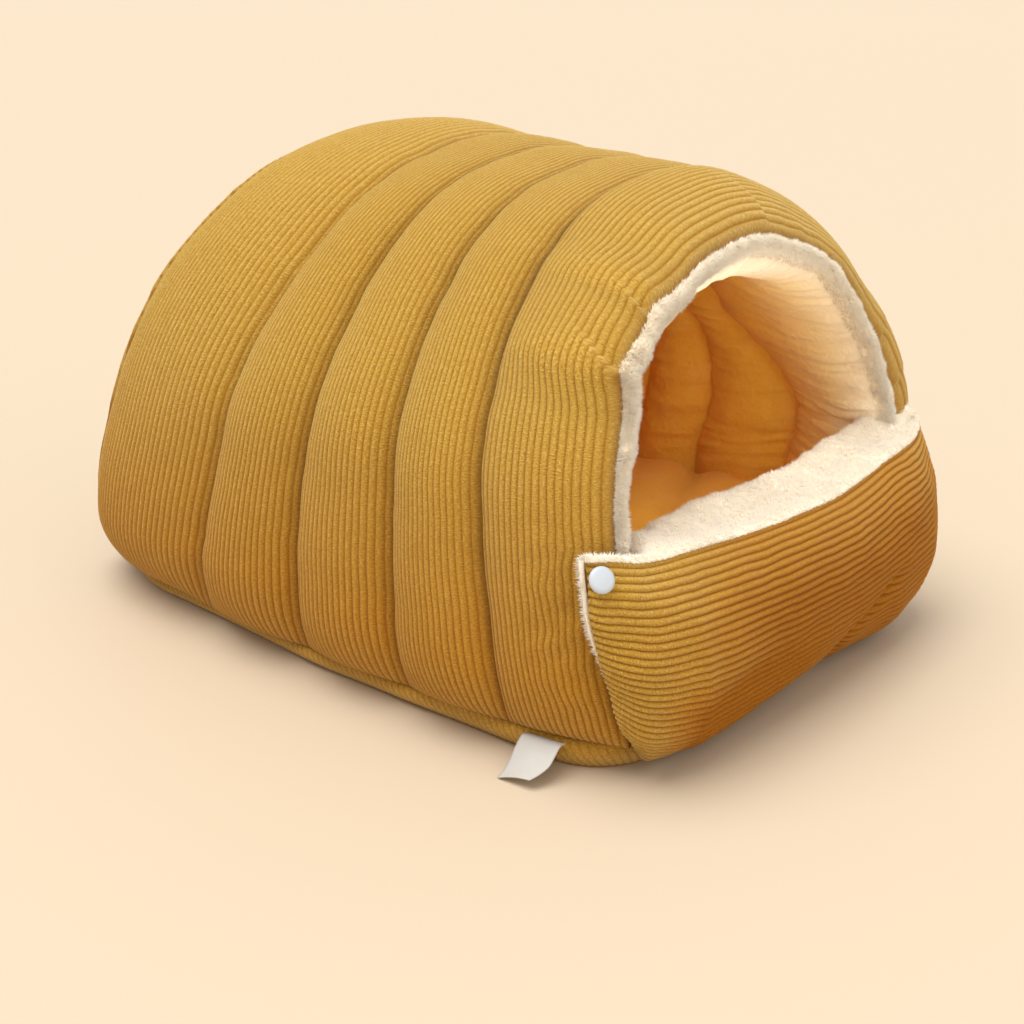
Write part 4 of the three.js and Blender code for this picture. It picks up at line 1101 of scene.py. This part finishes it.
# ------------------------------------------------------------------ build
quilt = finish_piece(build_hood(), "corduroy", ["hood_quilt"])
lining, lining_pts, lining_s = build_lining()
finish_piece(lining, "plush", ["hood_lining"])
back = finish_piece(build_back(), "corduroy", ["back_panel"])
back_lining = finish_piece(build_back_lining(), "plush", ["back_lining"])
base = finish_piece(build_base(), "corduroy", ["base_pad"])
mat = finish_piece(build_mat(), "plush", ["floor_mat"])
flap_cloth, flap_t, flap_edge = build_flap()
flap = finish_piece(flap_cloth, "corduroy", ["front_flap"])
flap_lining, flap_pts, flap_n = build_flap_lining(flap_t, flap_edge)
finish_piece(flap_lining, "plush", ["flap_lining"])
finish_piece(build_cap("snap_left", "snap_cap_left", *SNAPS[0]), "snap", ["snap_cap_left"])
finish_piece(build_cap("snap_right", "snap_cap_right", *SNAPS[1]), "snap", ["snap_cap_right"])
label = finish_piece(build_label(), "label", ["label"])


def sample_grid(g, weight, count, seed):
    """Points and normals spread over a grid of quads, by area times weight at the quad."""
    rng = np.random.default_rng(seed)
    a, b, c, d = g[:-1, :-1], g[1:, :-1], g[1:, 1:], g[:-1, 1:]
    cross = np.cross(c - a, d - b)
    area = np.linalg.norm(cross, axis=-1) / 2
    w = area * (weight[:-1, :-1] + weight[1:, 1:]) / 2
    pick = rng.choice(w.size, count, p=(w / w.sum()).ravel())
    i, j = np.unravel_index(pick, w.shape)
    u, v = rng.random((count, 1)), rng.random((count, 1))
    p = (a[i, j] * (1 - u) + b[i, j] * u) * (1 - v) + (d[i, j] * (1 - u) + c[i, j] * u) * v
    return p, unit(cross[i, j]), i, j


# pile on the lip and the lining just behind it
C = lining_pts.shape[1]
lip_first = C - ROLL
zmid = lining_pts[:, lip_first, 2]
w = np.zeros(lining_pts.shape[:2])
w[:, lip_first:] = np.clip(1.35 - np.abs(np.linspace(-1, 1, ROLL)) ** 3, 0, 1)[None]
w[:, lip_first - 1] = 0.4
w *= smooth((lining_pts[..., 2] - 112) / 14)
p, n, i, j = sample_grid(lining_pts, w, 42000, 11)
if np.mean(np.sum(n * (np.array([0, -240.0, 110.0]) - p), -1) > 0) < 0.5:
    n = -n
lip = fibres("hood_lip_pile", p, n, 2.9, 0.33, seed=21, clump=5.0, shade=inner_shade(p))
finish_piece(lip, "pile")

# pile on the flap's plush top, its upper edge and its ends
t_len = flap_pts.shape[0]
vcol = np.maximum(0, np.arange(flap_pts.shape[1]) - 4)[None] / flap_pts.shape[1]
w = np.broadcast_to(smooth((0.62 - vcol) / 0.2), flap_pts.shape[:2]).copy()
ends = np.minimum(np.arange(t_len), t_len - 1 - np.arange(t_len))[:, None]
w = w * np.where(flap_pts[..., 2] > 95, 1.0, 0.15) + (ends < 3) * 1.6
p, n, i, j = sample_grid(flap_pts, w, 47000, 12)
n = np.where((n[:, 1] + n[:, 2])[:, None] < 0, -n, n)
out = np.zeros_like(n)
out[:, 0] = np.where(i < 2, -1.0, np.where(i >= t_len - 3, 1.0, 0.0))
n = unit(n + out * 1.5)
fuzz = fibres("flap_top_pile", p, n, 2.6, 0.34, seed=22, clump=5.5, shade=0.25 * inner_shade(p))
finish_piece(fuzz, "pile")

# ------------------------------------------------------------------ floor, light, camera
floor_me = bpy.data.meshes.new("floor")
floor_me.from_pydata([(-400, -400, 0), (400, -400, 0), (400, 400, 0), (-400, 400, 0)], [], [(0, 1, 2, 3)])
floor = bpy.data.objects.new("floor", floor_me)
bpy.context.scene.collection.objects.link(floor)
fm, fnt, fb = new_material("pale_floor")
fb.inputs["Base Color"].default_value = (0.58, 0.48, 0.36, 1)
fb.inputs["Roughness"].default_value = 0.6
floor_me.materials.append(fm)

world = bpy.data.worlds.new("studio")
world.use_nodes = True
world.node_tree.nodes["Background"].inputs["Color"].default_value = (1.0, 0.96, 0.90, 1)
world.node_tree.nodes["Background"].inputs["Strength"].default_value = 0.66
bpy.context.scene.world = world


def soft_sun(name, way, strength, angle, colour):
    """A broad, even light coming from the direction way."""
    d = bpy.data.lights.new(name, "SUN")
    d.energy = strength
    d.angle = math.radians(angle)
    d.color = colour
    o = bpy.data.objects.new(name, d)
    o.rotation_euler = Vector(way).to_track_quat("Z", "Y").to_euler()
    bpy.context.scene.collection.objects.link(o)


soft_sun("overhead", (-0.30, 0.10, 1.0), 3.0, 50, (1.0, 0.98, 0.95))
soft_sun("front", (-0.30, -1.0, 0.62), 1.15, 70, (1.0, 0.95, 0.86))
# a small soft panel in the mouth, shining in
d = bpy.data.lights.new("mouth", "AREA")
d.shape, d.size, d.size_y, d.energy, d.color = "RECTANGLE", 0.11, 0.06, 0.078, (1.0, 0.95, 0.86)
o = bpy.data.objects.new("mouth", d)
o.location = (-0.05, -0.207, 0.186)
o.rotation_euler = Vector((-0.27, -0.24, -0.09)).to_track_quat("Z", "Y").to_euler()
o.visible_camera = False
bpy.context.scene.collection.objects.link(o)
bpy.context.scene.cycles.diffuse_bounces = 10
bpy.context.scene.cycles.max_bounces = 14

cam_data = bpy.data.cameras.new("camera")
cam = bpy.data.objects.new("camera", cam_data)
bpy.context.scene.collection.objects.link(cam)
cam_data.sensor_width = 36.0
cam_data.lens = 1552 / 1024 * 36.0
cam_data.clip_start, cam_data.clip_end = 0.02, 60
R = Vector((0.64944805, -0.76040597, 0.0))
U = Vector((0.24756397, 0.2114396, 0.94551858))
F = Vector((0.71897797, 0.61406519, -0.32556815))
M = Matrix((R, U, -F)).transposed().to_4x4()
M.translation = Vector((-0.7405, -0.6602, 0.400))
cam.matrix_world = M
bpy.context.scene.camera = cam
bpy.context.scene.view_settings.view_transform = "Standard"

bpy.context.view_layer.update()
tris = sum(sum(len(p.vertices) - 2 for p in o.data.polygons) for o in bpy.context.scene.objects if o.type == "MESH" and not o.hide_render)
print("TRIANGLES", tris)
